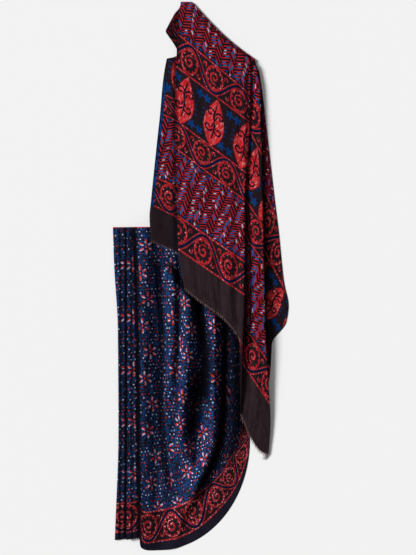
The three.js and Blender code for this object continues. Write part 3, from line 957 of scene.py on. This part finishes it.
def shade_skirt(up):
    """The skirt's painted shade: its front above the border, a shadow under the end panel, and the pleats."""
    x, y = skirt_points[..., 0], skirt_points[..., 1]
    shade = shaded(skirt_points, FRONT_SHADES) * ease(*SKIRT_SHADED_ABOVE, up)
    # Painted shadow of the end panel's tail on the skirt below it.
    under_the_tail = ease(*TAIL_SHADE["above"], y) * ease(*TAIL_SHADE["right"], x)
    shade = np.maximum(shade, TAIL_SHADE["strength"] * under_the_tail)
    stacked = slice(0, FIRST_FRONT + FRONT_EDGE_COLUMNS)
    shade[:, stacked] = shaded(skirt_points, PLEAT_SHADES)[:, stacked]
    return shade


skirt_shade = shade_skirt(up_the_print(lengths(skirt_points[::-1], 0)[::-1]))
panel_shade = shaded(panel_rows, PANEL_SHADES)
print("mean shade: skirt", round(skirt_shade.mean(), 2), "end panel", round(panel_shade.mean(), 2))

# %% [markdown]
# ## From a grid to a sheet of cloth
#
# Each grid becomes quads with their UV map, and the Solidify modifier gives the cloth its thickness on both
# sides of the grid, as a felt or a leather would be made too. Cloth could also be left a single surface, but
# a real hem shows its edge, and a closed mesh prints and exports cleanly.

# %% Sheet maker
THICKNESS = 0.9


def only(obj):
    """Deselects everything, and makes this object the selected and active one."""
    bpy.ops.object.select_all(action="DESELECT")
    obj.select_set(True)
    bpy.context.view_layer.objects.active = obj


def sheet(name, points, corner_uv, numbers):
    """A closed sheet round a grid of points, with its print's UV map and named numbers at its points."""
    rows, columns = points.shape[:2]
    corner = np.arange(rows * columns).reshape(rows, columns)
    mesh = bpy.data.meshes.new(name)
    mesh.from_pydata((points.reshape(-1, 3) * MM).tolist(), [], corners_of(corner).reshape(-1, 4).tolist())
    layer = mesh.uv_layers.new(name="print")
    layer.data.foreach_set("uv", (corner_uv * MM).astype(np.float32).ravel())
    for label, values in numbers.items():
        attribute = mesh.attributes.new(label, "FLOAT", "POINT")
        attribute.data.foreach_set("value", values.astype(np.float32).ravel())
    obj = bpy.data.objects.new(name, mesh)
    bpy.context.scene.collection.objects.link(obj)
    only(obj)
    solidify = obj.modifiers.new("thickness", "SOLIDIFY")
    solidify.thickness = THICKNESS * MM
    solidify.offset = 0
    bpy.ops.object.modifier_apply(modifier=solidify.name)
    bpy.ops.object.shade_smooth()
    area = sum(polygon.area for polygon in obj.data.polygons) / 2
    print(name, len(obj.data.polygons) * 2, "triangles,", round(area, 3), "square metres of cloth")
    return obj


# %% The two sheets
ROW_ABOVE = 30
top_rows = panel_top.shape[0] + 1
above_shoulder = np.repeat(panel_places[:1], top_rows, axis=0)
above_shoulder[..., 1] -= np.arange(top_rows, 0, -1)[:, None] * ROW_ABOVE
panel_uv = corners_of(np.concatenate([above_shoulder, panel_places]))
skirt = sheet("sari_skirt", skirt_points, skirt_uv, {"shade": skirt_shade, "waist": lengths(skirt_points, 0)})
panel_numbers = {"selvedge": lengths(panel_rows, 1), "shade": panel_shade}
end_panel = sheet("sari_end_panel", panel_rows, panel_uv, panel_numbers)

# %% [markdown]
# ## Frayed ends
#
# The cut end of the panel isn't hemmed: its warp threads stand out of the weave. One thread is modelled from
# a small circle that is pulled out in steps, each turned and drawn in, so that it is curly and tapers. Copies
# of it, each with its own length and direction, are joined along each of the three ends that show.

# %% One curly thread
THREAD_RADIUS = 0.42
THREAD_PULLS = [(0.25, -3, 0.1, 0.95), (-0.3, -3, 0.2, 0.9), (0.35, -2.5, -0.25, 0.8), (0.1, -1.8, -0.2, 0.3)]


def curly_thread():
    """One thread of weave, about 10 mm long, from the origin towards -Y."""
    bpy.ops.object.select_all(action="DESELECT")
    bpy.ops.mesh.primitive_circle_add(
        vertices=4,
        radius=THREAD_RADIUS * MM,
        fill_type="NGON",
        rotation=(math.pi / 2, 0, 0),
    )
    thread = bpy.context.object
    bpy.ops.object.transform_apply(location=False, rotation=True, scale=True)
    bpy.ops.object.mode_set(mode="EDIT")
    bpy.ops.mesh.select_all(action="SELECT")
    for x, y, z, size in THREAD_PULLS:
        bpy.ops.mesh.extrude_region_move(TRANSFORM_OT_translate={"value": (x * MM, y * MM, z * MM)})
        bpy.ops.transform.resize(value=(size, 1, size))
    bpy.ops.mesh.select_all(action="SELECT")
    bpy.ops.mesh.normals_make_consistent(inside=False)
    bpy.ops.object.mode_set(mode="OBJECT")
    return thread


pattern_thread = curly_thread()
print("thread:", len(pattern_thread.data.polygons), "faces")

# %% Three frayed ends
FRAYS = {
    "frayed_end_flap": {"lay": 0, "threads": 70, "longest": 1.1},
    "frayed_end_middle": {"lay": 2, "threads": 170, "longest": 1.2},
    "frayed_end_side": {"lay": 4, "threads": 120, "longest": 1.3},
}
TIP_LAY = 4
TIP_THREADS = 0.88
TIP_GROWTH = 2.1
TIP_DROOP = 0.3
TIP_CLEARANCE = 1.6
THREAD_LENGTH = 11
ROOT_BEYOND = 3.4


def frayed_end(name, lay, threads, longest):
    """Copies of the thread along one cut end, joined as one piece."""
    random = np.random.default_rng(len(name))
    copies = []
    for n in range(threads):
        t = (n + random.uniform(0.1, 0.9)) / threads
        root = panel_points(PANEL_LAYS[lay], t, END_ROW, ROOT_BEYOND + random.uniform(-0.8, 0.8))
        at_tip = lay == TIP_LAY and t > TIP_THREADS
        length = longest * random.uniform(0.55, 1.0) * (TIP_GROWTH if at_tip else 1)
        if at_tip:
            droop = -min(TIP_DROOP, (root[2] - TIP_CLEARANCE) / (THREAD_LENGTH * length))
        else:
            droop = -0.08 * random.uniform(0, 1)
        turn = Matrix.Rotation(random.uniform(-0.5, 0.2), 4, "Z") @ Matrix.Rotation(-droop, 4, "X")
        roll = Matrix.Rotation(random.uniform(0, 2 * math.pi), 4, "Y")
        place = Matrix.Translation(Vector(root) * MM) @ turn @ roll @ Matrix.Diagonal((1, length, 1, 1))
        copy = bpy.data.objects.new(name, pattern_thread.data.copy())
        copy.data.transform(place)
        bpy.context.scene.collection.objects.link(copy)
        copies.append(copy)
    only(copies[0])
    for copy in copies:
        copy.select_set(True)
    bpy.ops.object.join()
    piece = bpy.context.object
    piece.name = name + "_threads"
    bpy.ops.object.shade_smooth()
    print(piece.name, len(piece.data.polygons), "faces")
    return piece


frayed = {name: frayed_end(name, **fray) for name, fray in FRAYS.items()}
bpy.data.objects.remove(pattern_thread)

# %% [markdown]
# ## Shader sums as expressions
#
# The design is a sum of many small shapes, each a formula of the print's u and v. Writing each formula with
# Math nodes by hand is slow to read, so a small class lets Python's own arithmetic add the nodes. Colours go
# through Mix nodes, because a Math node would turn them grey.


# %% Expression class
class Value:
    """A socket in a material's node tree: arithmetic on it adds Math nodes."""

    def __init__(self, shader, socket):
        self.shader = shader
        self.socket = socket

    def __add__(self, other):
        return self.shader.maths("ADD", self, other)

    __radd__ = __add__

    def __mul__(self, other):
        return self.shader.maths("MULTIPLY", self, other)

    __rmul__ = __mul__

    def __sub__(self, other):
        return self.shader.maths("SUBTRACT", self, other)

    def __rsub__(self, other):
        return self.shader.maths("SUBTRACT", other, self)

    def __truediv__(self, other):
        return self.shader.maths("DIVIDE", self, other)

    def __abs__(self):
        return self.shader.maths("ABSOLUTE", self)


class Shader:
    """One material. node() adds any node, and the other methods are the few that the print needs."""

    def __init__(self, name):
        self.material = bpy.data.materials.new(name)
        self.material.use_nodes = True
        self.tree = self.material.node_tree
        self.tree.nodes.clear()

    def node(self, kind, settings, values, output=0):
        node = self.tree.nodes.new(kind)
        for name, setting in settings.items():
            setattr(node, name, setting)
        for name, value in values.items():
            if isinstance(value, Value):
                self.tree.links.new(value.socket, node.inputs[name])
            else:
                node.inputs[name].default_value = value
        return Value(self, node.outputs[output])

    def finish(self, surface):
        """Joins the surface to the material's output."""
        output = self.tree.nodes.new("ShaderNodeOutputMaterial")
        self.tree.links.new(surface.socket, output.inputs["Surface"])
        return self.material

    def maths(self, operation, *values):
        return self.node("ShaderNodeMath", {"operation": operation}, dict(enumerate(values)))

    def step(self, value, low, high):
        """0 below low and 1 above high, with a smooth step between them."""
        limits = {"Value": value, "From Min": low, "From Max": high}
        return self.node("ShaderNodeMapRange", {"interpolation_type": "SMOOTHSTEP"}, limits)

    def within(self, distance, half, soft=0.7):
        """1 where a distance, to either side, is less than half."""
        return 1 - self.step(abs(distance) - half, -soft, soft)

    def either(self, *masks):
        result = masks[0]
        for mask in masks[1:]:
            result = self.maths("MAXIMUM", result, mask)
        return result

    def length(self, x, y):
        return self.maths("SQRT", x * x + y * y)

    def turn(self, x, y):
        """The direction of a point from the origin, as a share of a whole turn."""
        return self.maths("ARCTAN2", y, x) / (2 * math.pi) + 0.5

    def pair(self, x, y):
        return self.node("ShaderNodeCombineXYZ", {}, {"X": x, "Y": y})

    def noise(self, x, y, size, detail=1.0):
        """Soft uneven numbers about 0.5, with blots of the given size."""
        values = {"Vector": self.pair(x, y), "Scale": 1 / size, "Detail": detail}
        return self.node("ShaderNodeTexNoise", {"noise_dimensions": "2D"}, values)

    def dice(self, x, y):
        """One even random number from 0 to 1 for each whole x and y."""
        return self.node("ShaderNodeTexWhiteNoise", {"noise_dimensions": "2D"}, {"Vector": self.pair(x, y)})

    def paint(self, under, over, mask):
        """One colour laid over another through a mask."""
        return self.node("ShaderNodeMix", {"data_type": "RGBA"}, {0: mask, 6: under, 7: over}, output=2)

    def cells(self, value, pitch):
        """The number of the repeat that a place is in, and the place from that repeat's middle."""
        number = self.maths("FLOOR", value / pitch + 0.5)
        return number, value - number * pitch

    def odd(self, number):
        """1 for odd whole numbers and 0 for even ones."""
        return abs(number - 2 * self.maths("FLOOR", number / 2 + 0.25))


# %% [markdown]
# ## The dyes
#
# Indigo and madder, each once or twice over, give all the colours, and the cloth that the mud kept undyed
# gives the chalk white and the pink. Screen colours are easy to judge by eye, but nodes work with linear
# light, so a short function turns one into the other.


# %% Dye colours
def colour(red, green, blue):
    """A screen colour from 0 to 255 as the linear colour that nodes use."""
    linear = [(c / 255 / 12.92) if c < 11 else ((c / 255 + 0.055) / 1.055) ** 2.4 for c in (red, green, blue)]
    return (*linear, 1)


MADDER = colour(184, 38, 42)
DARK_MADDER = colour(138, 24, 36)
PINK = colour(222, 170, 172)
CHALK = colour(184, 192, 222)
INDIGO = colour(10, 54, 112)
SKIRT_INDIGO = colour(15, 62, 116)
SKIRT_MADDER = colour(192, 50, 44)
WOVEN_MADDER = colour(160, 36, 44)
WOVEN_GAP = colour(14, 13, 26)
WOVEN_INDIGO = colour(30, 100, 174)
DEEP_INDIGO = colour(14, 24, 50)
VINE = colour(12, 22, 48)
NIGHT = colour(10, 14, 30)
UMBER = colour(33, 24, 29)
END_UMBER = colour(49, 36, 39)
HEM_INK = colour(30, 27, 40)
# The colour of the painted shade in the deep folds, not a dye.
PAINTED_FOLD_SHADE = colour(4, 4, 9)
DARK_PATCH = colour(12, 12, 20)
THREAD_DARK = colour(62, 44, 47)
THREAD_PALE = colour(146, 112, 112)
print("dyes: madder", np.round(MADDER[:3], 3), "indigo", np.round(INDIGO[:3], 3))

# %% [markdown]
# ## The scroll border
#
# All four borders are one block print: toothed rings with a curl inside, and a thick vine that passes over
# one ring and under the next. The design is a glide: each repeat is the last one turned upside down, so one
# set of formulas with a flipping sign draws it all.


# %% Scroll border
BLOCK_HEIGHT = 90
TEETH = 11
TOOTH_DEPTH = 5.6
RING_RIM = 5.2
RING_OFFSET = 5.0
CURL_START = 3.0
CURL_STEP = 0.35
VINE_SWING = 0.42
VINE_HALF = 3.9
VINE_SIDE = 5.6
HOOK_PLACE = (0.43, 0.27)
HOOK_RADIUS = 5.6


def scroll_border(s, lengthwise, across, pitch, ring):
    """Masks of the border's madder parts and of its vine; across runs from 0 to the block's height."""
    number, x = s.cells(lengthwise, pitch)
    y = (across - BLOCK_HEIGHT / 2) * (1 - 2 * s.odd(number))
    ring_y = y - RING_OFFSET
    radius = s.length(x, ring_y)
    turn = s.turn(x, ring_y)
    tooth = s.maths("COSINE", turn * (2 * math.pi * TEETH))
    inner = ring - RING_RIM - TOOTH_DEPTH * s.maths("MAXIMUM", tooth, 0.0)
    band = (ring - inner) / 2
    rings = s.within(radius - ring + band, band)
    curl_pitch = CURL_STEP * ring
    curl_radius = CURL_START + turn * curl_pitch
    curl = s.within(radius - curl_radius, 3.3)
    second = s.within(radius - curl_radius - curl_pitch, 2.3) * (1 - s.step(turn, 0.3, 0.34))
    angle = x * (math.pi / pitch)
    rise = BLOCK_HEIGHT * VINE_SWING
    steep = s.maths("SINE", angle) * (rise * math.pi / pitch)
    from_vine = (y + rise * s.maths("COSINE", angle)) / s.maths("SQRT", 1 + steep * steep)
    vine = s.within(from_vine, VINE_HALF)
    vine_sides = s.within(abs(from_vine) - VINE_SIDE, 1.5)
    hook_x = abs(x) - HOOK_PLACE[0] * pitch
    hook_y = y - BLOCK_HEIGHT * HOOK_PLACE[1]
    opening = s.within(s.turn(hook_x, hook_y) - 0.3, 0.12, 0.02)
    hook = s.within(s.length(hook_x, hook_y) - HOOK_RADIUS, 2.0) * (1 - opening)
    edges = s.within(abs(y) - BLOCK_HEIGHT / 2 + 2.8, 2.4)
    outside = s.step(radius, ring, ring + 1.5)
    madder = s.either(rings, curl, second, hook, edges, vine_sides * outside)
    return madder * (1 - vine), vine


# %% [markdown]
# ## Leaves and herringbone
#
# The leaves are madder lens shapes with an indigo midrib and four curls, folded about both axes so that one
# curl is drawn four times. The herringbone is made of columns in pairs: one with nearly level strokes, one
# with steep strokes. A random number for each stroke decides whether a chalk or an indigo dash lies by it.


# %% Leaves
LEAF_PITCH = 118.5
LEAF_START = 47.9
LEAF_HALF = 92
LEAF_WIDTH = 41
LEAF_FULLNESS = 0.3
MIDRIB_SWAY = 2.4
CURL_PLACE = (19, 26)
CURL_GROWTH = 12.5
SPRIG_PLACE = (15, 62)
SPRIG_LEAN = 6
SPRIG_LOBES = 5
DASH_STEP = 17
DASH_PLACE = 46


def leaves(s, across, down):
    """Masks of the leaves, their indigo lines, and the indigo marks between them. down is 0 mid-leaf."""
    _, x = s.cells(across - LEAF_START, LEAF_PITCH)
    share = down / LEAF_HALF
    half = (1 - share * share) * (1 + LEAF_FULLNESS * share) * LEAF_WIDTH
    from_edge = half - abs(x)
    leaf = s.step(from_edge, 0.0, 1.4)
    outline = s.within(from_edge - 2.0, 1.4)
    midrib = s.within(x - MIDRIB_SWAY * s.maths("SINE", down / 17), 2.5) * (1 - s.step(abs(down), 60, 66))
    curl_x = abs(x) - CURL_PLACE[0]
    curl_y = abs(down) - CURL_PLACE[1]
    radius = s.length(curl_x, curl_y)
    curl = s.within(radius - 3.5 - s.turn(curl_x, curl_y) * CURL_GROWTH, 3.0)
    stem = s.within(abs(x) * 0.94 - abs(down) * 0.34, 2.2) * (1 - s.step(abs(down), 22, 28))
    lines = leaf * s.either(outline, midrib, curl, stem * s.step(abs(down), 4, 8))
    way = 1 - 2 * s.step(down, -0.1, 0.1)
    _, gap = s.cells(across - LEAF_START - LEAF_PITCH / 2, LEAF_PITCH)
    sprig_x = abs(gap * way - SPRIG_LEAN) - SPRIG_PLACE[0]
    sprig_y = abs(down) - SPRIG_PLACE[1]
    lobes = 11.5 + 4.5 * s.maths("COSINE", s.turn(sprig_x, sprig_y) * (2 * math.pi * SPRIG_LOBES))
    sprig = s.step(lobes - s.length(sprig_x, sprig_y), -0.8, 0.8)
    _, dash_y = s.cells(down, DASH_STEP)
    dash = s.within(abs(x) - DASH_PLACE, 5) * s.within(dash_y - x * 0.1, 1.8)
    dash = dash * (1 - s.step(abs(down), 26, 30))
    return leaf, lines, s.either(sprig, dash) * (1 - leaf)


# %% Herringbone
PAIR_PITCH = 52
LEVEL_WIDTH = 29
LEVEL_RISE = math.tan(math.radians(30))
LEVEL_PITCH = 9.2
STEEP_PITCH = 15.5
DASH_SWAY = 12
DASH_HALF = 6.5
CHALK_HALF = 4.2
CHALK_ABOVE = 0.74
INDIGO_BELOW = 0.4
NOTCH_DEPTH = 16
NOTCH_DOT = 7.5


def strokes(s, place, pitch, column, side):
    """One column's madder strokes, over nearly half of each step, and dashes in some of the gaps."""
    number = s.maths("FLOOR", place / pitch)
    share = place / pitch - number
    madder = s.within(share - 0.25, 0.19, 0.07)
    choice = s.dice(number, column)
    sway = (s.dice(number, column + 0.25) - 0.5) * DASH_SWAY
    gap = s.within(share - 0.75, 0.15, 0.06) * s.within(side - sway, DASH_HALF)
    chalk = gap * s.within(side - sway, CHALK_HALF) * s.step(choice, CHALK_ABOVE, CHALK_ABOVE + 0.02)
    return madder, chalk, gap * (1 - s.step(choice, INDIGO_BELOW - 0.02, INDIGO_BELOW))


def herringbone(s, across, down, to_end):
    """Masks of madder, chalk and indigo; to_end is the distance from the nearer end of the columns."""
    number, x = s.cells(across, PAIR_PITCH)
    middle = (PAIR_PITCH - LEVEL_WIDTH) / 2
    level_edge = middle - LEVEL_WIDTH / 2
    level = s.step(x, level_edge - 0.6, level_edge + 0.6)
    level_marks = strokes(s, down + x * LEVEL_RISE, LEVEL_PITCH, number, x - middle)
    steep_marks = strokes(s, down - x, STEEP_PITCH, number + 0.5, x + middle + LEVEL_WIDTH / 4)
    part = s.within(abs(x - middle) - LEVEL_WIDTH / 2, 1.3)
    marks = [mix(steep, flat, level) * (1 - part) for steep, flat in zip(steep_marks, level_marks)]
    _, to_side = s.cells(across + LEVEL_WIDTH - PAIR_PITCH / 2, PAIR_PITCH / 2)
    notch = s.step(NOTCH_DEPTH - to_end - abs(to_side) * 1.4, -0.6, 0.6)
    dot = 1 - s.step(s.length(to_side, to_end - NOTCH_DOT), 3.4, 4.6)
    return [mark * (1 - notch) for mark in marks], notch, dot


# %% [markdown]
# ## The skirt's ground
#
# The skirt is covered with six-petalled flowers among rows of dots, on a ground of short indigo dashes that
# turn from upright to level like a maze. Each dot and dash takes its colour from a random number of its own
# cell, so that nothing repeats by eye, while the flowers keep the printing block's steady pitch.


# %% Flowers, dots and maze
FLOWER_ACROSS = 86
FLOWER_UP = 84
FLOWER_START = (30, 40)
FLOWER_SWAY = 11
PETALS = 6
PETAL_OUT = 16.5
PETAL_HALVES = (8.2, 3.7)
DOT_PITCH = 11.5
CHALK_DOT_ABOVE = 0.74
MADDER_DOT_BELOW = 0.31
MAZE_PITCH = 9.0
MAZE_RUN = 26
MAZE_BEND = 10


def flowers(s, u, v):
    """Masks of petals, of their chalk halves and of middles, and the distance from a flower's middle."""
    row, y = s.cells(v - FLOWER_START[1], FLOWER_UP)
    _, x = s.cells(u - FLOWER_START[0] + FLOWER_SWAY * (1 - 2 * s.odd(row)), FLOWER_ACROSS)
    radius = s.length(x, y)
    sector = s.turn(x, y) * PETALS
    angle = (sector - s.maths("FLOOR", sector) - 0.5) * (2 * math.pi / PETALS)
    outward = radius * s.maths("COSINE", angle) - PETAL_OUT
    sideways = radius * s.maths("SINE", angle)
    petal = 1 - s.step(s.length(outward / PETAL_HALVES[0], sideways / PETAL_HALVES[1]), 0.84, 1.1)
    wobble = s.noise(u, v, 9) - 0.5
    chalk = s.step(sideways + wobble * 16, 0.9, 1.9)
    middle = 1 - s.step(radius, 2.6, 3.8)
    return petal, chalk, middle, radius


def dots(s, u, v):
    """Masks of the chalk dots and of the madder dots."""
    row, y = s.cells(v, DOT_PITCH)
    column, x = s.cells(u + s.odd(row) * (DOT_PITCH / 2), DOT_PITCH)
    choice = s.dice(row, column)
    sway = s.dice(row + 0.5, column) - 0.5
    dot = 1 - s.step(s.length(x + sway * 3, y - sway * 2), 1.5, 2.7)
    chalk = dot * s.step(choice, CHALK_DOT_ABOVE, CHALK_DOT_ABOVE + 0.01)
    return chalk, dot * (1 - s.step(choice, MADDER_DOT_BELOW - 0.01, MADDER_DOT_BELOW))


def maze(s, u, v):
    """Mask of the ground's short dashes, upright in some places and level in others."""
    upright = s.step(s.noise(u, v, 24), 0.47, 0.49)
    bend = (s.noise(u, v, 14) - 0.5) * MAZE_BEND
    masks = []
    for first, second in ((u, v), (v, u)):
        number, offset = s.cells(first + bend, MAZE_PITCH)
        _, run = s.cells(second + s.dice(number, number) * 30, MAZE_RUN)
        masks.append(s.within(offset, 2.2) * (1 - s.within(run, 2.8)))
    return mix(masks[1], masks[0], upright)


# %% [markdown]
# ## Cotton
#
# Under the print all the cloth is the same plain-woven, slightly crinkled cotton. It is matt, with almost no
# shine. Its dye took unevenly, its folds carry painted shade, and its bump has two scales: the weave, and a
# crinkle that runs along the warp.

# %% Cotton surface
WEAVE_PITCH = 1.3
WEAVE_SHARE = 0.05
CRINKLE = 7.0
UNEVEN_DYE = 34
COTTON_ROUGHNESS = 0.86
COTTON_SHINE = 0.02
BUMP_STRENGTH = 0.5
BUMP_DEPTH = 0.0022


def number_of(s, name):
    """A number that the sheet holds at its points, by its name."""
    return s.node("ShaderNodeAttribute", {"attribute_name": name}, {}, output=2)


def cotton(s, base, u, v):
    """Finishes a material: painted shade in the folds, dye that took unevenly, and weave and crinkle."""
    # Painted shade of the folds: the dye is mixed towards near-black by the sheet's shade number.
    base = s.paint(base, PAINTED_FOLD_SHADE, number_of(s, "shade"))
    uneven = s.noise(u, v, UNEVEN_DYE, 3.0)
    base = s.paint(base, DARK_PATCH, s.step(uneven, 0.45, 0.75) * 0.3)
    warp = s.maths("SINE", u * (2 * math.pi / WEAVE_PITCH))
    weft = s.maths("SINE", v * (2 * math.pi / WEAVE_PITCH))
    crinkle = s.noise(u, v * 0.3, CRINKLE, 2.0)
    height = warp * weft * WEAVE_SHARE + crinkle
    relief = {"Strength": BUMP_STRENGTH, "Distance": BUMP_DEPTH, "Height": height}
    values = {
        "Base Color": base,
        "Roughness": COTTON_ROUGHNESS,
        "Specular IOR Level": COTTON_SHINE,
        "Normal": s.node("ShaderNodeBump", {}, relief),
    }
    return s.finish(s.node("ShaderNodeBsdfPrincipled", {}, values))


def print_place_of(s):
    """The print's u and v in millimetres, from the sheet's UV map."""
    place = s.node("ShaderNodeUVMap", {"uv_map": "print"}, {})
    return [s.node("ShaderNodeSeparateXYZ", {}, {0: place}, output=n) * (1 / MM) for n in range(2)]


# %% [markdown]
# ## The two printed parts
#
# The print is laid on in the order that a printer would see it: the ground first, then the marks on it, then
# the borders over both. Masks with soft edges choose between the dyes, so each material is one surface, which
# bakes to plain textures. Worn spots in the madder show the pink of thin dye.

# %% Skirt print
SKIRT_RING = 33
WAIST_LINE = 3.0


def skirt_print():
    """The skirt's material, from the plain hem up through the border to the flowered ground."""
    s = Shader("printed skirt cotton")
    u, v = print_place_of(s)
    petal, chalk, middle, radius = flowers(s, u, v)
    away = s.step(radius, 25, 29)
    chalk_dots, madder_dots = dots(s, u, v)
    ground = s.paint(UMBER, SKIRT_INDIGO, maze(s, u, v))
    ground = s.paint(ground, CHALK, chalk_dots * away)
    ground = s.paint(ground, SKIRT_MADDER, madder_dots * away)
    ground = s.paint(ground, s.paint(SKIRT_MADDER, CHALK, chalk), petal)
    ground = s.paint(ground, SKIRT_MADDER, middle)
    madder, vine = scroll_border(s, u, (v - HEM_STRIP) * (BLOCK_HEIGHT / HEM_BORDER), RING_PITCH, SKIRT_RING)
    worn = s.step(s.noise(u, v, 5), 0.6, 0.74)
    hem_dye = s.paint(MADDER, DARK_MADDER, s.noise(u, v, 16) * 0.7 + 0.35)
    border = s.paint(s.paint(UMBER, VINE, vine), s.paint(hem_dye, PINK, worn), madder)
    in_border = s.step(v, HEM_STRIP - 0.5, HEM_STRIP + 0.5)
    above = s.step(v, HEM_STRIP + HEM_BORDER - 0.5, HEM_STRIP + HEM_BORDER + 0.5)
    base = s.paint(s.paint(HEM_INK, border, in_border), ground, above)
    broken = s.step(s.noise(u, v, 6), 0.4, 0.5)
    line = 1 - s.step(number_of(s, "waist"), WAIST_LINE - 0.5, WAIST_LINE + 0.5)
    base = s.paint(base, MADDER, line * broken)
    return cotton(s, base, u, v)


skirt.data.materials.append(skirt_print())
print("skirt print:", len(skirt.data.materials[0].node_tree.nodes), "nodes")

# %% End panel print
BORDERS = [(0, 78), (251, 341), (529, 621)]
WOVEN_ENDS = (0, 341, 529)
LEAF_MIDDLE = 165
PANEL_RING = 34
SELVEDGE_BELOW = (190, 230)
SELVEDGE_BAND = 11
SELVEDGE_STRIPE = (7, 3.5)


def chosen(masks, values):
    """One number picked from several by masks that don't overlap."""
    return sum(mask * value for mask, value in zip(masks, values))


def end_panel_print():
    """The end panel's material: three borders, leaves and herringbone in bands, and a plain end."""
    s = Shader("printed end panel cotton")
    across, down = print_place_of(s)
    steps = [s.step(down, edge - 0.4, edge + 0.4) for border in BORDERS for edge in border]
    in_border = [steps[2 * n] * (1 - steps[2 * n + 1]) for n in range(3)]
    in_leaves = steps[1] * (1 - steps[2])
    in_plain_end = steps[5]
    level = chosen(in_border, [(down - low) * (BLOCK_HEIGHT / (high - low)) for low, high in BORDERS])
    madder, vine = scroll_border(s, across - PANEL_START, level, PANEL_PITCH, PANEL_RING)
    worn = s.step(s.noise(across, down, 5), 0.66, 0.78)
    madder_dye = s.paint(s.paint(MADDER, DARK_MADDER, s.noise(across, down, 16)), PINK, worn)
    border = s.paint(s.paint(UMBER, VINE, vine), madder_dye, madder)
    leaf, lines, marks = leaves(s, across, down - LEAF_MIDDLE)
    streaks = s.step(s.noise(across + down * 0.3, down * 0.2, 4.0, 2.0), 0.58, 0.7)
    leaf_dye = s.paint(MADDER, PINK, streaks * 0.5)
    leaf_band = s.paint(s.paint(s.paint(UMBER, INDIGO, marks), leaf_dye, leaf), NIGHT, lines)
    first, second, third = [abs(down - end) for end in WOVEN_ENDS]
    to_end = s.maths("MINIMUM", s.maths("MINIMUM", second, third), first)
    (red, chalk, blue), notch, dot = herringbone(s, across, down, to_end)
    woven = s.paint(s.paint(WOVEN_GAP, WOVEN_INDIGO, blue), CHALK, chalk)
    woven = s.paint(s.paint(woven, WOVEN_MADDER, red), UMBER, notch)
    woven = s.paint(woven, INDIGO, dot)
    plain = s.paint(END_UMBER, UMBER, s.noise(across, down * 0.8, 40, 3.0) * 0.7)
    base = s.paint(woven, leaf_band, in_leaves)
    base = s.paint(base, border, sum(in_border[1:], in_border[0]))
    base = s.paint(base, plain, in_plain_end)
    edge = number_of(s, "selvedge")
    blots = s.step(s.noise(across, down, 12), 0.44, 0.5)
    beside = s.step(down, *SELVEDGE_BELOW) * (1 - in_plain_end)
    base = s.paint(base, DEEP_INDIGO, (1 - s.step(edge, SELVEDGE_BAND, SELVEDGE_BAND + 1)) * beside)
    stripe_middle, stripe_half = SELVEDGE_STRIPE
    base = s.paint(base, INDIGO, s.within(edge - stripe_middle, stripe_half) * blots * beside)
    return cotton(s, base, across, down)


end_panel.data.materials.append(end_panel_print())
print("end panel print:", len(end_panel.data.materials[0].node_tree.nodes), "nodes")

# %% [markdown]
# ## The loose threads' cotton
#
# The frayed threads are the plain end's own warp: its brown, paler where the dye didn't reach, with a fine
# twist in the bump. They have no UV map. Object coordinates do instead, because each piece's place is in its
# mesh.

# %% Frayed threads
TWIST_PITCH = 0.9
THREAD_ROUGHNESS = 0.9


def frayed_cotton():
    """Bare warp threads: the end's brown, uneven from thread to thread, with the twist in the bump."""
    s = Shader("frayed cotton")
    place = s.node("ShaderNodeTexCoord", {}, {}, output=3)
    x, y, z = [s.node("ShaderNodeSeparateXYZ", {}, {0: place}, output=n) * (1 / MM) for n in range(3)]
    paleness = s.noise(x, y * 0.1, 2.0)
    base = s.paint(THREAD_DARK, THREAD_PALE, s.step(paleness, 0.35, 0.7))
    twist = s.maths("SINE", (y + x + z) * (2 * math.pi / TWIST_PITCH))
    bump = s.node("ShaderNodeBump", {}, {"Strength": 0.4, "Distance": 0.0002, "Height": twist})
    values = {"Base Color": base, "Roughness": THREAD_ROUGHNESS, "Normal": bump}
    return s.finish(s.node("ShaderNodeBsdfPrincipled", {}, values))


thread_cotton = frayed_cotton()
for piece in frayed.values():
    piece.data.materials.append(thread_cotton)
print("frayed cotton on", len(frayed), "pieces")

# %% [markdown]
# ## Floor and light
#
# The floor is plain and pale. A large low light from the left rakes across the folds, so the ridges' left
# sides catch it and their right sides and the valleys go dark, and a little light comes from all round.

# %% Floor
FLOOR_SIZE = 12
bpy.ops.mesh.primitive_plane_add(size=FLOOR_SIZE, location=(0, 0, 0))
floor = bpy.context.object
floor.name = "floor"
floor_shader = Shader("pale floor")
floor_values = {"Base Color": (0.9, 0.9, 0.9, 1), "Roughness": 0.95}
floor_surface = floor_shader.node("ShaderNodeBsdfPrincipled", {}, floor_values)
floor.data.materials.append(floor_shader.finish(floor_surface))

# %% Lights
KEY_POWER = 4.3
KEY_SOFTNESS = math.radians(20)
KEY_HEIGHT = math.radians(34)
KEY_FROM = math.radians(163)
AROUND = 0.22


def add_sun(name, power, softness, height, from_angle):
    """A sun lamp that shines from an angle round the table and a height above it."""
    data = bpy.data.lights.new(name, "SUN")
    data.energy = power
    data.angle = softness
    lamp = bpy.data.objects.new(name, data)
    flat = math.cos(height)
    source = Vector((flat * math.cos(from_angle), flat * math.sin(from_angle), math.sin(height)))
    lamp.rotation_euler = source.to_track_quat("Z", "Y").to_euler()
    bpy.context.scene.collection.objects.link(lamp)
    return lamp


add_sun("key", KEY_POWER, KEY_SOFTNESS, KEY_HEIGHT, KEY_FROM)
world = bpy.data.worlds.new("studio")
world.use_nodes = True
background = world.node_tree.nodes["Background"]
background.inputs["Color"].default_value = (1, 1, 1, 1)
background.inputs["Strength"].default_value = AROUND
bpy.context.scene.world = world
bpy.context.scene.view_settings.view_transform = "Standard"

# %% [markdown]
# ## What each piece is
#
# The two sheets and the three frayed ends all ride on the one body, and each stands for its solids.

for piece in (skirt, end_panel, *frayed.values()):
    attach(piece, "root")
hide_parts("sari_cloth")
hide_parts("sari_cloth")
for name, piece in frayed.items():
    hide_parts(name)
